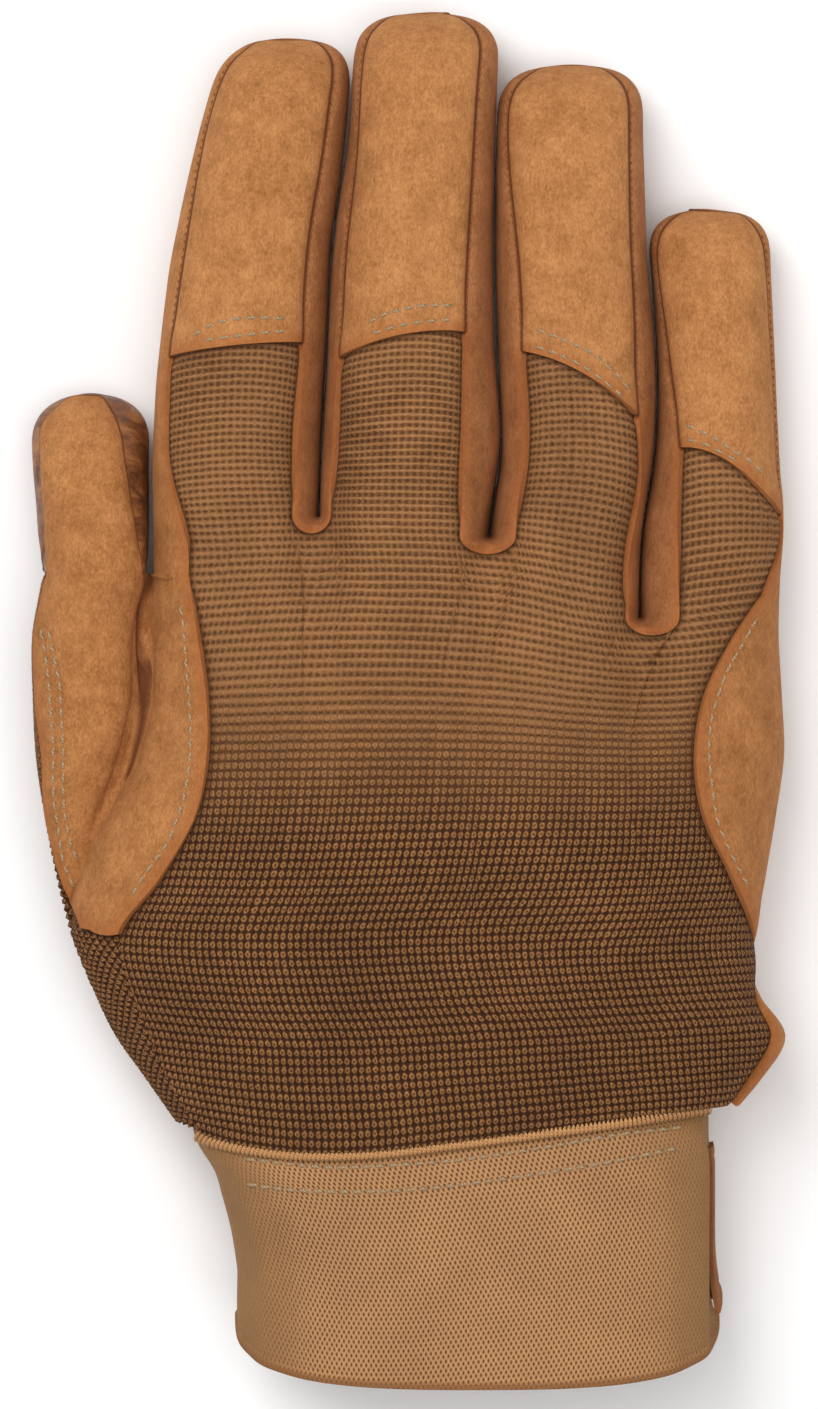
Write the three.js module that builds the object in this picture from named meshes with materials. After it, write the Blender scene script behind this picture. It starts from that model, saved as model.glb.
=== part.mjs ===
import * as THREE from "three";

// Mechanic glove for a right hand, lying palm down and seen from its knitted back.
// Millimetres, +Z up, fingers along +Y, thumb at -X. The glove rests on z = 0.
// One skin is laid out as rings of points, each seam runs along lines of that skin, and each
// panel is the part of the skin between its seams, given its own wall thickness inwards.

// Widths across each digit at its root
const digitWidth = { thumb: 20.6, index: 29.6, middle: 31.2, ring: 26.4, little: 25.2 };
// Length of each digit above the crotch on its little-finger side (little: on its thumb side)
const digitLength = { thumb: 33.6, index: 88.7, middle: 97, ring: 102.2, little: 76.3 };
// Height of each digit's back above the ground, at its root
const digitDepth = { thumb: 27, index: 34, middle: 36, ring: 34.5, little: 31 };
// Distance from the wrist line up to each crotch, and to the seam end on the little side
const crotchReach = { thumb: 97.5, index: 105.9, middle: 102.2, ring: 87.7, little: 94.8 };
const palmDepth = 45;
// The cuff hangs from under the knit's lower edge and hangs deeper in its middle than at its sides
const cuffLength = 46;
const cuffWidth = 86;
const cuffDepth = 40;
const cuffLap = 3;
const hemBow = 12;
// Closing tab round the cuff's little-finger side: from its upper to its lower end
const tabTop = 6;
const tabWidth = 26;
const tabFrom = 10;
const tabTo = -120;

// Walls and clearances
const knitWall = 1.5;
const suedeWall = 1.2;
const gripWall = 1.3;
const cuffWall = 1.7;
const tabWall = 1.6;
const seamGap = 0.3;
const fingerGap = 0.8;

const knuckleWidth = digitWidth.index + digitWidth.middle + digitWidth.ring + digitWidth.little;
const palmLength = crotchReach.index;
const handLeft = -0.408 * knuckleWidth;

// Sideways drift of the lines between the fingers, as shares of the knuckle width.
// rise: 0 at the ring-little crotch, 1 at the middle fingertip.
const fingerLines = [
  { rise: 0, thumbSide: -0.003, indexMiddle: -0.003, middleRing: -0.005, ringLittle: -0.002,
    littleSide: -0.002 },
  { rise: 0.16, thumbSide: 0, indexMiddle: 0, middleRing: -0.005, ringLittle: 0.003, littleSide: 0.002 },
  { rise: 0.304, thumbSide: 0, indexMiddle: 0.005, middleRing: 0.013, ringLittle: 0.024,
    littleSide: -0.003 },
  { rise: 0.464, thumbSide: 0.011, indexMiddle: 0.014, middleRing: 0.006, ringLittle: 0.025,
    littleSide: -0.011 },
  { rise: 0.624, thumbSide: 0.033, indexMiddle: 0.022, middleRing: 0.003, ringLittle: 0.013,
    littleSide: -0.016 },
  { rise: 0.785, thumbSide: 0.067, indexMiddle: 0.044, middleRing: 0.005, ringLittle: 0.008,
    littleSide: -0.016 },
  { rise: 0.945, thumbSide: 0.111, indexMiddle: 0.056, middleRing: 0.011, ringLittle: 0.008,
    littleSide: -0.016 },
];

// How far each seam on the back lies inside the digit's side, as shares of the digit's width.
// up: 0 at the crotch, 1 at the tip. Each pair is the thumb side and the little-finger side.
const seamInset = [
  { up: 0, thumb: [0.03, 0.03], index: [0.23, 0.157], middle: [0.065, 0.17],
    ring: [0.17, 0.09], little: [0.27, 0.15] },
  { up: 0.15, thumb: [0.03, 0.05], index: [0.11, 0.14], middle: [0.065, 0.21],
    ring: [0.16, 0.06], little: [0.25, 0.02] },
  { up: 0.35, thumb: [0.03, 0.1], index: [0.072, 0.135], middle: [0.07, 0.18],
    ring: [0.15, 0.12], little: [0.2, 0.02] },
  { up: 0.6, thumb: [0.03, 0.16], index: [0.07, 0.13], middle: [0.075, 0.14],
    ring: [0.14, 0.1], little: [0.09, 0.02] },
  { up: 0.85, thumb: [0.03, 0.23], index: [0.04, 0.12], middle: [0.05, 0.12],
    ring: [0.06, 0.09], little: [0.04, 0.03] },
  { up: 1, thumb: [0.07, 0.27], index: [0.07, 0.1], middle: [0.07, 0.1],
    ring: [0.07, 0.09], little: [0.07, 0.07] },
];

// Where the knit meets the fingertip suede, measured from the tip as shares of the digit's
// length at the thumb side, middle and little-finger side, and how the tip leans and rounds.
const tips = {
  thumb: { seam: [0.5, 0.5, 0.5], lean: 0, round: 9, square: 2.3 },
  index: { seam: [0.643, 0.623, 0.616], lean: 0, round: 10, square: 3 },
  middle: { seam: [0.637, 0.598, 0.592], lean: 1.2, round: 9, square: 2.8 },
  ring: { seam: [0.504, 0.541, 0.616], lean: 0, round: 10, square: 2.8 },
  little: { seam: [0.56, 0.596, 0.714], lean: -1.6, round: 9, square: 2.8 },
};

// The hand from wrist (along 0) to crotches (along 1). Sideways places are shares of the
// knuckle width from the hand's axis, heights are shares of the palm's depth.
// side: outline at the thumb. gusset: upper edge of the side gusset. crease: fold beside the
// thumb. saddle and patch: edges of the knit. edge: outline at the little finger.
// hand: thumb side of the palm's own dome. top, thumbTop and mid: heights of the dome, of the
// thumb's back and of the outline.
const sections = [
  { along: 0, side: -0.363, gusset: -0.355, crease: -0.347, saddle: -0.333, patch: 0.484,
    edge: 0.492, hand: -0.363, top: 0.97, thumbTop: 0.45, mid: 0.45 },
  { along: 0.086, side: -0.42, gusset: -0.411, crease: -0.398, saddle: -0.383, patch: 0.546,
    edge: 0.561, hand: -0.42, top: 0.99, thumbTop: 0.44, mid: 0.44 },
  { along: 0.154, side: -0.465, gusset: -0.456, crease: -0.435, saddle: -0.41, patch: 0.577,
    edge: 0.597, hand: -0.465, top: 1, thumbTop: 0.43, mid: 0.43 },
  { along: 0.221, side: -0.496, gusset: -0.486, crease: -0.462, saddle: -0.435, patch: 0.547,
    edge: 0.561, hand: -0.496, top: 1, thumbTop: 0.42, mid: 0.42 },
  { along: 0.325, side: -0.536, gusset: -0.514, crease: -0.501, saddle: -0.457, patch: 0.544,
    edge: 0.552, hand: -0.535, top: 0.99, thumbTop: 0.42, mid: 0.41 },
  { along: 0.423, side: -0.56, gusset: -0.553, crease: -0.497, saddle: -0.391, patch: 0.51,
    edge: 0.568, hand: -0.523, top: 0.98, thumbTop: 0.48, mid: 0.39 },
  { along: 0.524, side: -0.578, gusset: -0.574, crease: -0.484, saddle: -0.337, patch: 0.465,
    edge: 0.583, hand: -0.494, top: 0.98, thumbTop: 0.54, mid: 0.36 },
  { along: 0.626, side: -0.592, gusset: -0.583, crease: -0.443, saddle: -0.317, patch: 0.452,
    edge: 0.597, hand: -0.452, top: 0.97, thumbTop: 0.58, mid: 0.34 },
  { along: 0.727, side: -0.597, gusset: -0.59, crease: -0.421, saddle: -0.319, patch: 0.467,
    edge: 0.594, hand: -0.429, top: 0.95, thumbTop: 0.6, mid: 0.32 },
  { along: 0.828, side: -0.598, gusset: -0.594, crease: -0.423, saddle: -0.332, patch: 0.514,
    edge: 0.589, hand: -0.421, top: 0.9, thumbTop: 0.6, mid: 0.31 },
  { along: 0.921, side: -0.584, gusset: -0.579, crease: -0.418, saddle: -0.348, patch: 0.573,
    edge: 0.59, hand: -0.412, top: 0.85, thumbTop: 0.6, mid: 0.31 },
  { along: 1.02, side: -0.584, gusset: -0.579, crease: -0.413, saddle: -0.372, patch: 0.59,
    edge: 0.594, hand: -0.408, top: 0.8, thumbTop: 0.6, mid: 0.31 },
  { along: 1.2, side: -0.584, gusset: -0.579, crease: -0.413, saddle: -0.388, patch: 0.588,
    edge: 0.592, hand: -0.408, top: 0.74, thumbTop: 0.58, mid: 0.31 },
];

// Thumb outline above the web: up 0 at the crotch, 1 at the tip; out is a share of its width
const thumbOutline = [
  { up: 0, out: 0.01 },
  { up: 0.3, out: 0.03 },
  { up: 0.55, out: 0.01 },
  { up: 0.8, out: -0.02 },
  { up: 1, out: -0.05 },
];

// How far the cuff has drawn in from the wrist's width to its own, and stands inside the knit,
// from the wrist (down 0) to its hem (down 1)
const cuffShape = [
  { down: 0, narrow: 0, under: 1 },
  { down: 0.09, narrow: 0.18, under: 0.9 },
  { down: 0.225, narrow: 0.58, under: 0.15 },
  { down: 0.34, narrow: 0.72, under: 0 },
  { down: 0.5, narrow: 0.88, under: 0 },
  { down: 0.67, narrow: 1, under: 0 },
];

// Drop of the knit's lower edge below the wrist line, across the back from thumb side to little
// side, as shares of the palm length
const wristEdge = [
  { across: 0, drop: -0.013 },
  { across: 0.06, drop: 0.014 },
  { across: 0.2, drop: 0.035 },
  { across: 0.35, drop: 0.035 },
  { across: 0.5, drop: 0.02 },
  { across: 0.75, drop: -0.009 },
  { across: 1, drop: -0.041 },
];

// Rows of points from the crotches to the wrist. The row at vRow is the suede's lower end.
const palmRows = [0, 0.05, 0.12, 0.21, 0.31, 0.42, 0.53, 0.6466, 0.74, 0.83, 0.92, 1];
const vRow = 7;
const gripRows = 4;
const lowerRows = 4;
const upperRows = 4;
const tipRows = 5;
const backColumns = 5;
const thumbColumns = 4;
const wallColumns = 2;
const crotchColumns = 3;
const cuffColumns = 36;
const cuffRows = [0, 0.07, 0.14, 0.25, 0.45, 0.7, 1];
const tabColumns = Math.round((tabFrom - tabTo) * cuffColumns / 360);
const tabRows = 4;
const saddleColumns = 4;
const tipEnd = 78 * Math.PI / 180;
const tipFall = 18;
const rootBlend = 13;
const valleyDepth = 7;
const valleyWidth = 5.5;
const valleyFade = 15;
const bottomSeam = 3.4;
const bottomFlat = 1.07;
const domeShape = 2.5;
const bottomShape = 3;
const thumbShape = 2.2;
const tipShape = 2.2;
const hemShape = 3;
// Share of a digit's depth that it loses towards its tip, and height of its outline
const tipTaper = 0.27;
const outlineHeight = 0.42;
const undersideInset = 0.45;
// The thumb's back meets the hand's back in a fold, a little inside the crease, that is filled
// softly over this height
const creaseShift = 1.5;
const foldHeight = 8;
const foldFill = 2;
const underBow = 0.3;
const cuffOutline = 0.45;
const evenDrift = 0.8;
const columnTurn = 75 * Math.PI / 180;

const fingers = ["index", "middle", "ring", "little"];
const digits = ["thumb", ...fingers];
const lineNames = ["thumbSide", "indexMiddle", "middleRing", "ringLittle", "littleSide"];

const mix = (a, b, share) => a + (b - a) * share;
const clamp = (value, low, high) => Math.min(high, Math.max(low, value));
const smooth = (value) => {
  const t = clamp(value, 0, 1);
  return t * t * (3 - 2 * t);
};

// Smooth curve through a table's rows: cubic pieces whose slopes are those of the neighbours
function follow(table, key, column, at) {
  const read = (row) => (typeof column === "function" ? column(table[row]) : table[row][column]);
  const last = table.length - 1;
  if (at <= table[0][key]) return read(0);
  if (at >= table[last][key]) return read(last);
  let row = 0;
  while (at > table[row + 1][key]) row += 1;
  const slope = (i) => {
    const before = Math.max(i - 1, 0);
    const after = Math.min(i + 1, last);
    return (read(after) - read(before)) / (table[after][key] - table[before][key]);
  };
  const step = table[row + 1][key] - table[row][key];
  const t = (at - table[row][key]) / step;
  const t2 = t * t;
  const t3 = t2 * t;
  return (2 * t3 - 3 * t2 + 1) * read(row) + (t3 - 2 * t2 + t) * step * slope(row)
    + (3 * t2 - 2 * t3) * read(row + 1) + (t3 - t2) * step * slope(row + 1);
}

// Round profile: 1 in the middle, 0 at |place| = 1, with upright sides
function dome(place, shape) {
  return Math.max(0, 1 - Math.min(1, Math.abs(place)) ** shape) ** (1 / shape);
}

const section = (column, y) => follow(sections, "along", column, y / palmLength);
const sideways = (column, y) => section(column, y) * knuckleWidth;
const heights = (column, y) => section(column, y) * palmDepth;

// Lines between the fingers, numbered from the index finger's thumb side
const lineStart = [0];
for (const name of fingers) lineStart.push(lineStart.at(-1) + digitWidth[name]);
const crotchY = [crotchReach.thumb, crotchReach.index, crotchReach.middle, crotchReach.ring];
const crotchDip = [1.6, 3.3, 3.3, 3.3];
const tipY = {
  thumb: crotchReach.thumb + digitLength.thumb,
  index: crotchReach.index + digitLength.index,
  middle: crotchReach.middle + digitLength.middle,
  ring: crotchReach.ring + digitLength.ring,
  little: crotchReach.ring + digitLength.little,
};
const riseSpan = tipY.middle - crotchReach.ring;

function lineX(number, y) {
  const rise = (y - crotchReach.ring) / riseSpan;
  return handLeft + lineStart[number] + follow(fingerLines, "rise", lineNames[number], rise) * knuckleWidth;
}

// Height of the row of points at a digit's root, at its thumb side (-1) to little side (1)
function rootY(name, across) {
  const place = digits.indexOf(name);
  const rootAt = (number) => (number > 3 ? crotchReach.little : crotchY[number] + crotchDip[number]);
  const low = rootAt(Math.max(place - 1, 0));
  const high = rootAt(place);
  return mix(low, high, (across + 1) / 2);
}

// Place of a point up its digit: 0 at the root, 1 at the tip
function climb(name, y) {
  const root = rootY(name, 0);
  return clamp((y - root) / (tipY[name] - root), 0, 1);
}

// Sides of a digit at a height, drawn in round at the tip
function digitSides(name, y) {
  const number = fingers.indexOf(name);
  let low;
  let high;
  if (name === "thumb") {
    high = lineX(0, y) - fingerGap;
    low = high - digitWidth.thumb * (1 - follow(thumbOutline, "up", "out", climb(name, y)));
    low = mix(sideways("side", y), low, smooth((y - crotchReach.thumb) / rootBlend));
  } else {
    low = lineX(number, y) + (number > 0 ? fingerGap / 2 : 0);
    high = lineX(number + 1, y) - (number < 3 ? fingerGap / 2 : 0);
    if (number === 3) high = mix(sideways("edge", y), high, smooth((y - crotchReach.little) / rootBlend));
  }
  const tip = tips[name];
  const near = clamp((y - (tipY[name] - tip.round)) / tip.round, 0, Math.sin(tipEnd));
  const half = (high - low) / 2 * dome(near, tip.square);
  const middle = (low + high) / 2;
  return { low: middle - half, high: middle + half, middle, half };
}

// Heights of a digit's back and outline, falling round to the tip
function digitHeights(name, y) {
  const up = climb(name, y);
  const fall = clamp((y - (tipY[name] - tipFall)) / tipFall, 0, Math.sin(tipEnd));
  const back = digitDepth[name] * (1 - tipTaper * up);
  const mid = back * outlineHeight;
  return { mid, rise: (back - mid) * dome(fall, tipShape), drop: mid * dome(fall, tipShape) };
}

// Back of the hand: a dome, lowered along the valleys between the fingers, with the thumb's
// own round back beside it
function sheetTop(x, y) {
  const low = sideways("hand", y);
  const high = sideways("edge", y);
  const mid = heights("mid", y);
  const place = (x - (low + high) / 2) / ((high - low) / 2);
  let z = mid + (heights("top", y) - mid) * dome(place, domeShape);
  if (place < -1) z = mid + (place + 1) * (high - low);
  for (let number = 1; number < 4; number += 1) {
    const away = (x - lineX(number, Math.max(y, crotchY[number]))) / valleyWidth;
    const fade = Math.exp(Math.min(0, (y - crotchY[number]) / valleyFade));
    z -= valleyDepth * Math.exp(-away * away) * fade;
  }
  const side = sideways("side", y);
  const fold = sideways("crease", y) + creaseShift;
  const thumbPlace = (x - (side + fold) / 2) / ((fold - side) / 2);
  let thumbZ = mid + (heights("thumbTop", y) - mid) * dome(thumbPlace, thumbShape);
  if (thumbPlace > 1) thumbZ = mid - (thumbPlace - 1) * (fold - side);
  const blend = clamp(0.5 + (thumbZ - z) / foldHeight, 0, 1);
  return mix(z, thumbZ, blend) + foldFill * blend * (1 - blend);
}

// Underside of the hand: round at the sides, flat where it rests
function sheetBottom(x, y) {
  const low = sideways("side", y);
  const high = sideways("edge", y);
  const place = (x - (low + high) / 2) / ((high - low) / 2);
  return heights("mid", y) * Math.max(0, 1 - bottomFlat * dome(place, bottomShape));
}

function digitTop(name, x, y) {
  const sides = digitSides(name, y);
  const level = digitHeights(name, y);
  return level.mid + level.rise * dome((x - sides.middle) / sides.half, domeShape);
}

function digitBottom(name, x, y) {
  const sides = digitSides(name, y);
  const level = digitHeights(name, y);
  const round = dome((x - sides.middle) / sides.half, bottomShape);
  return Math.max(0, level.mid - level.drop * bottomFlat * round);
}

// Points of the whole skin, and its faces with the panel that each belongs to
const points = [];
const faces = [];
const addPoint = (x, y, z) => points.push(new THREE.Vector3(x, y, z)) - 1;

function addFace(panel, a, b, c) {
  if (a !== b && b !== c && c !== a) faces.push({ panel, corners: [a, b, c] });
}

// Faces between rows of points. Rows run towards +Y, and turned faces look the other way.
function addGrid(rows, turned, panelAt) {
  for (let row = 0; row + 1 < rows.length; row += 1) {
    for (let column = 0; column + 1 < rows[row].length; column += 1) {
      const panel = panelAt(row, column);
      const a = rows[row][column];
      const b = rows[row][column + 1];
      const c = rows[row + 1][column + 1];
      const d = rows[row + 1][column];
      if (turned) {
        addFace(panel, a, c, b);
        addFace(panel, a, d, c);
      } else {
        addFace(panel, a, b, c);
        addFace(panel, a, c, d);
      }
    }
  }
}

// Column places from -1 to 1, closer together at both sides
function spread(columns) {
  return Array.from({ length: columns + 1 }, (unused, i) => (
    Math.sin(columnTurn * (2 * i / columns - 1)) / Math.sin(columnTurn)));
}

// Height of a row of points on a digit. Rows start at the root, pass the back seam and end
// on the tip.
function rowY(name, row, across) {
  const tip = tips[name];
  const [first, second, third] = tip.seam;
  const bend = second + (third - first) / 2 * across + ((first + third) / 2 - second) * across * across;
  const seam = tipY[name] - bend * digitLength[name];
  const capStart = tipY[name] - tip.round;
  if (row <= lowerRows) return mix(rootY(name, across), seam, row / lowerRows);
  if (row <= lowerRows + upperRows) return mix(seam, capStart, (row - lowerRows) / upperRows);
  const turn = tipEnd * (row - lowerRows - upperRows) / tipRows;
  return capStart + tip.round * Math.sin(turn) + tip.lean * across * Math.sin(turn) ** 2;
}

// Points from a seam round a side to the seam below: a quarter turn on each half. At the root
// of a digit an inner side is a plain quarter round, which the crotch then carries across.
function wallPoints(seamTop, seamUnder, outX, mid, y, topAt, underAt, plain) {
  const row = [];
  for (let step = 1; step < 2 * wallColumns; step += 1) {
    const upper = step <= wallColumns;
    const seam = upper ? seamTop : seamUnder;
    const turn = Math.PI / 2 * (upper ? step : 2 * wallColumns - step) / wallColumns;
    const x = mix(seam.x, outX, Math.sin(turn));
    const round = mid + (seam.z - mid) * Math.cos(turn);
    const skin = step === wallColumns ? mid : (upper ? topAt : underAt)(x);
    row.push(addPoint(x, mix(seamTop.y, seamUnder.y, step / (2 * wallColumns)), mix(skin, round, plain)));
  }
  return row;
}

// One ring of a digit: back columns, both sides and underside
function digitRing(name, row) {
  const columns = name === "thumb" ? thumbColumns : backColumns;
  const ring = { top: [], under: [] };
  const places = spread(columns);
  const straight = (across) => mix(rowY(name, row, -1), rowY(name, row, 1), (across + 1) / 2);
  const rootShare = (y, across) => smooth((y - rootY(name, across)) / rootBlend);
  const insetAt = (y, side) => follow(seamInset, "up", (entry) => entry[name][side], climb(name, y));
  const topAt = (x, y, across) => mix(sheetTop(x, y), digitTop(name, x, y), rootShare(y, across));
  const underAt = (x, y, across) => mix(sheetBottom(x, y), digitBottom(name, x, y), rootShare(y, across));
  for (const across of places) {
    const y = rowY(name, row, across);
    const sides = digitSides(name, y);
    const low = mix(sides.low, sides.high, insetAt(y, 0));
    const high = mix(sides.high, sides.low, insetAt(y, 1));
    const x = mix(low, high, (across + 1) / 2);
    ring.top.push(addPoint(x, y, topAt(x, y, across)));
    const underY = straight(across);
    const under = digitSides(name, underY);
    const inset = Math.min(bottomSeam, under.half * undersideInset);
    const underX = mix(under.low + inset, under.high - inset, (across + 1) / 2);
    ring.under.push(addPoint(underX, underY, underAt(underX, underY, across)));
  }
  for (const [key, across] of [["low", -1], ["high", 1]]) {
    const end = across < 0 ? 0 : columns;
    const y = rowY(name, row, across);
    const share = rootShare(y, across);
    const outer = (name === "thumb" && across < 0) || (name === "little" && across > 0);
    const mid = mix(heights("mid", y), digitHeights(name, y).mid, share);
    const outX = digitSides(name, y)[key];
    const between = wallPoints(points[ring.top[end]], points[ring.under[end]], outX, mid, y,
      (x) => topAt(x, y, across), (x) => underAt(x, y, across), outer ? 0 : 1 - share);
    ring[key] = [ring.top[end], ...between, ring.under[end]];
  }
  return ring;
}

const ringCount = lowerRows + upperRows + tipRows;
const sidePanels = {
  thumb: ["thumb_grip", "thumb_grip"],
  index: ["palm", "fourchette_index_middle"],
  middle: ["fourchette_index_middle", "fourchette_middle_ring"],
  ring: ["fourchette_middle_ring", "fourchette_ring_little"],
  little: ["fourchette_ring_little", "palm"],
};

function addDigit(name) {
  const rings = Array.from({ length: ringCount + 1 }, (unused, row) => digitRing(name, row));
  const under = name === "thumb" ? "thumb_grip" : "palm";
  const back = (row) => {
    if (name === "thumb") return "thumb_back";
    return row < lowerRows ? "back_knit" : `tip_back_${name}`;
  };
  addGrid(rings.map((ring) => ring.top), false, back);
  addGrid(rings.map((ring) => ring.under), true, () => under);
  addGrid(rings.map((ring) => ring.low), true, () => sidePanels[name][0]);
  addGrid(rings.map((ring) => ring.high), false, () => sidePanels[name][1]);
  const end = rings.at(-1);
  const front = end.under.slice(0, -1).reverse();
  const loop = [...end.top, ...end.high.slice(1), ...front, ...end.low.slice(1, -1).reverse()];
  const centre = loop.reduce((sum, i) => sum.add(points[i]), new THREE.Vector3()).divideScalar(loop.length);
  const hub = addPoint(centre.x, centre.y, centre.z);
  loop.forEach((corner, i) => addFace(under, hub, corner, loop[(i + 1) % loop.length]));
  return rings[0];
}

// The web in a crotch: one round hollow from the side of one digit to the side of the next
function addCrotch(number, leftRing, rightRing) {
  const columns = number === 0 ? saddleColumns : crotchColumns;
  const levels = 2 * wallColumns;
  const reach = (level) => points[rightRing.low[level]].x - points[leftRing.high[level]].x;
  const web = [];
  for (let level = 0; level <= levels; level += 1) {
    const from = points[leftRing.high[level]];
    const to = points[rightRing.low[level]];
    const dip = crotchDip[number] * reach(level) / reach(0);
    const row = [leftRing.high[level]];
    for (let step = 1; step < columns; step += 1) {
      const turn = Math.PI * step / columns;
      const share = (1 - Math.cos(turn)) / 2;
      const x = mix(from.x, to.x, share);
      const y = mix(from.y, to.y, share) - dip * Math.sin(turn);
      let z = mix(from.z, to.z, share);
      if (level === 0) z = sheetTop(x, y);
      if (level === levels) z = sheetBottom(x, y);
      row.push(addPoint(x, y, z));
    }
    row.push(rightRing.low[level]);
    web.push(row);
  }
  const webPanels = ["palm", "fourchette_index_middle", "fourchette_middle_ring", "fourchette_ring_little"];
  addGrid(web, false, () => webPanels[number]);
  return { top: web[0], under: web[levels] };
}

// Height of the knit's lower edge at a place across the back, 0 at the thumb side
const wristY = (across) => -follow(wristEdge, "across", "drop", across) * palmLength;
const wristAcross = (x, y) => (x - sideways("side", y)) / (sideways("edge", y) - sideways("side", y));

// Rows from the crotches to the wrist. Each point keeps its share of the way across between
// the two seams of its stretch, and drifts to an even share at the wrist.
function palmRow(first, share, stretches, heightAt, wristAt) {
  const row = [];
  for (const { from, to, low, high } of stretches) {
    for (let i = from; i <= to; i += 1) {
      if (row.length > i) continue;
      const root = points[first[i]];
      const rootShare = (root.x - low(root.y)) / (high(root.y) - low(root.y));
      const evenShare = (i - from) / (to - from);
      const place = i === from ? 0 : mix(clamp(rootShare, 0, 1), evenShare, evenDrift * share);
      const guess = mix(low(0), high(0), i === to ? 1 : place);
      const y = mix(root.y, wristAt(wristAcross(guess, 0)), share);
      const x = i === to ? high(y) : mix(low(y), high(y), place);
      row.push(addPoint(x, y, heightAt(x, y)));
    }
  }
  return row;
}

function addPalm(roots, webs) {
  const join = (key) => {
    const line = [...roots.thumb[key]];
    fingers.forEach((name, number) => {
      line.push(...webs[number][key].slice(1, -1), ...roots[name][key]);
    });
    return line;
  };
  const topStart = join("top");
  const underStart = join("under");
  const thumbEnd = thumbColumns;
  const saddleEnd = thumbEnd + saddleColumns;
  const lastTop = topStart.length - 1;
  const topStretches = [
    { from: 0, to: thumbEnd, low: (y) => sideways("gusset", y), high: (y) => sideways("crease", y) },
    { from: thumbEnd, to: saddleEnd, low: (y) => sideways("crease", y), high: (y) => sideways("saddle", y) },
    { from: saddleEnd, to: lastTop, low: (y) => sideways("saddle", y), high: (y) => sideways("patch", y) },
  ];
  const underStretches = [{
    from: 0,
    to: underStart.length - 1,
    low: (y) => sideways("side", y) + bottomSeam,
    high: (y) => sideways("edge", y) - bottomSeam,
  }];
  const straightWrist = (across) => mix(wristY(0), wristY(1), clamp(across, 0, 1));
  const rows = palmRows.map((share, number) => {
    if (number === 0) {
      return { top: topStart, under: underStart, low: roots.thumb.low, high: roots.little.high };
    }
    const top = palmRow(topStart, share, topStretches, sheetTop, wristY);
    const under = palmRow(underStart, share, underStretches, sheetBottom, straightWrist);
    const row = { top, under };
    for (const [key, end, column] of [["low", 0, "side"], ["high", lastTop, "edge"]]) {
      const seam = points[top[end]];
      const below = points[under[end ? under.length - 1 : 0]];
      const between = wallPoints(seam, below, sideways(column, seam.y), heights("mid", seam.y), seam.y,
        (x) => sheetTop(x, seam.y), (x) => sheetBottom(x, seam.y), 0);
      row[key] = [top[end], ...between, under[end ? under.length - 1 : 0]];
    }
    return row;
  }).reverse();
  const topPanel = (row, column) => {
    const fromCrotch = palmRows.length - 2 - row;
    if (column >= saddleEnd) return "back_knit";
    if (fromCrotch >= vRow) return "thumb_side_knit";
    return column < thumbEnd ? "thumb_back" : "palm";
  };
  const underPanel = (row, column) => {
    const fromCrotch = palmRows.length - 2 - row;
    return column < thumbEnd && fromCrotch < gripRows ? "thumb_grip" : "palm";
  };
  addGrid(rows.map((row) => row.top), false, topPanel);
  addGrid(rows.map((row) => row.under), true, underPanel);
  addGrid(rows.map((row) => row.low), true, () => "thumb_side_knit");
  addGrid(rows.map((row) => row.high), false, () => "palm");
}

// Normals of the whole skin, so that panels that meet at a seam share them
function skinNormals(skinPoints, skinFaces) {
  const normals = skinPoints.map(() => new THREE.Vector3());
  for (const { corners } of skinFaces) {
    const [a, b, c] = corners.map((i) => skinPoints[i]);
    const normal = b.clone().sub(a).cross(c.clone().sub(a));
    corners.forEach((i) => normals[i].add(normal));
  }
  normals.forEach((normal) => normal.normalize());
  return normals;
}

// A closed wall: the panel's skin, drawn back from its seams by half the gap and kept above
// the ground, the same skin moved inwards by the wall, and a rim between the two along each edge
function wallGeometry(skinPoints, skinFaces, normals, wall) {
  const edges = new Map();
  for (const { corners } of skinFaces) {
    corners.forEach((from, i) => {
      const to = corners[(i + 1) % 3];
      const back = `${to}/${from}`;
      if (edges.has(back)) edges.delete(back);
      else edges.set(`${from}/${to}`, [from, to]);
    });
  }
  const pull = new Map();
  for (const [from, to] of edges.values()) {
    for (const end of [from, to]) {
      const along = skinPoints[to].clone().sub(skinPoints[from]);
      const inward = normals[end].clone().cross(along).normalize();
      pull.set(end, [...(pull.get(end) ?? []), inward]);
    }
  }
  const used = [...new Set(skinFaces.flatMap((face) => face.corners))];
  const place = new Map(used.map((point, i) => [point, i]));
  const positions = [];
  const outer = used.map((point) => {
    const moved = skinPoints[point].clone();
    const ways = pull.get(point);
    if (ways) {
      const sum = ways.reduce((total, way) => total.add(way), new THREE.Vector3());
      const scale = seamGap / 2 * ways.length / Math.max(sum.lengthSq(), 1);
      moved.addScaledVector(sum, scale);
    }
    return moved.setZ(Math.max(moved.z, 0));
  });
  outer.forEach((point) => positions.push(point.x, point.y, point.z));
  outer.forEach((point, i) => {
    const inner = point.clone().addScaledVector(normals[used[i]], -wall);
    positions.push(inner.x, inner.y, inner.z);
  });
  const count = used.length;
  const index = [];
  for (const { corners } of skinFaces) {
    const [a, b, c] = corners.map((corner) => place.get(corner));
    index.push(a, b, c, a + count, c + count, b + count);
  }
  for (const [from, to] of edges.values()) {
    const a = place.get(from);
    const b = place.get(to);
    index.push(b, a, a + count, b, a + count, b + count);
  }
  const geometry = new THREE.BufferGeometry();
  geometry.setAttribute("position", new THREE.Float32BufferAttribute(positions, 3));
  geometry.setIndex(index);
  return geometry;
}

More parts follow.
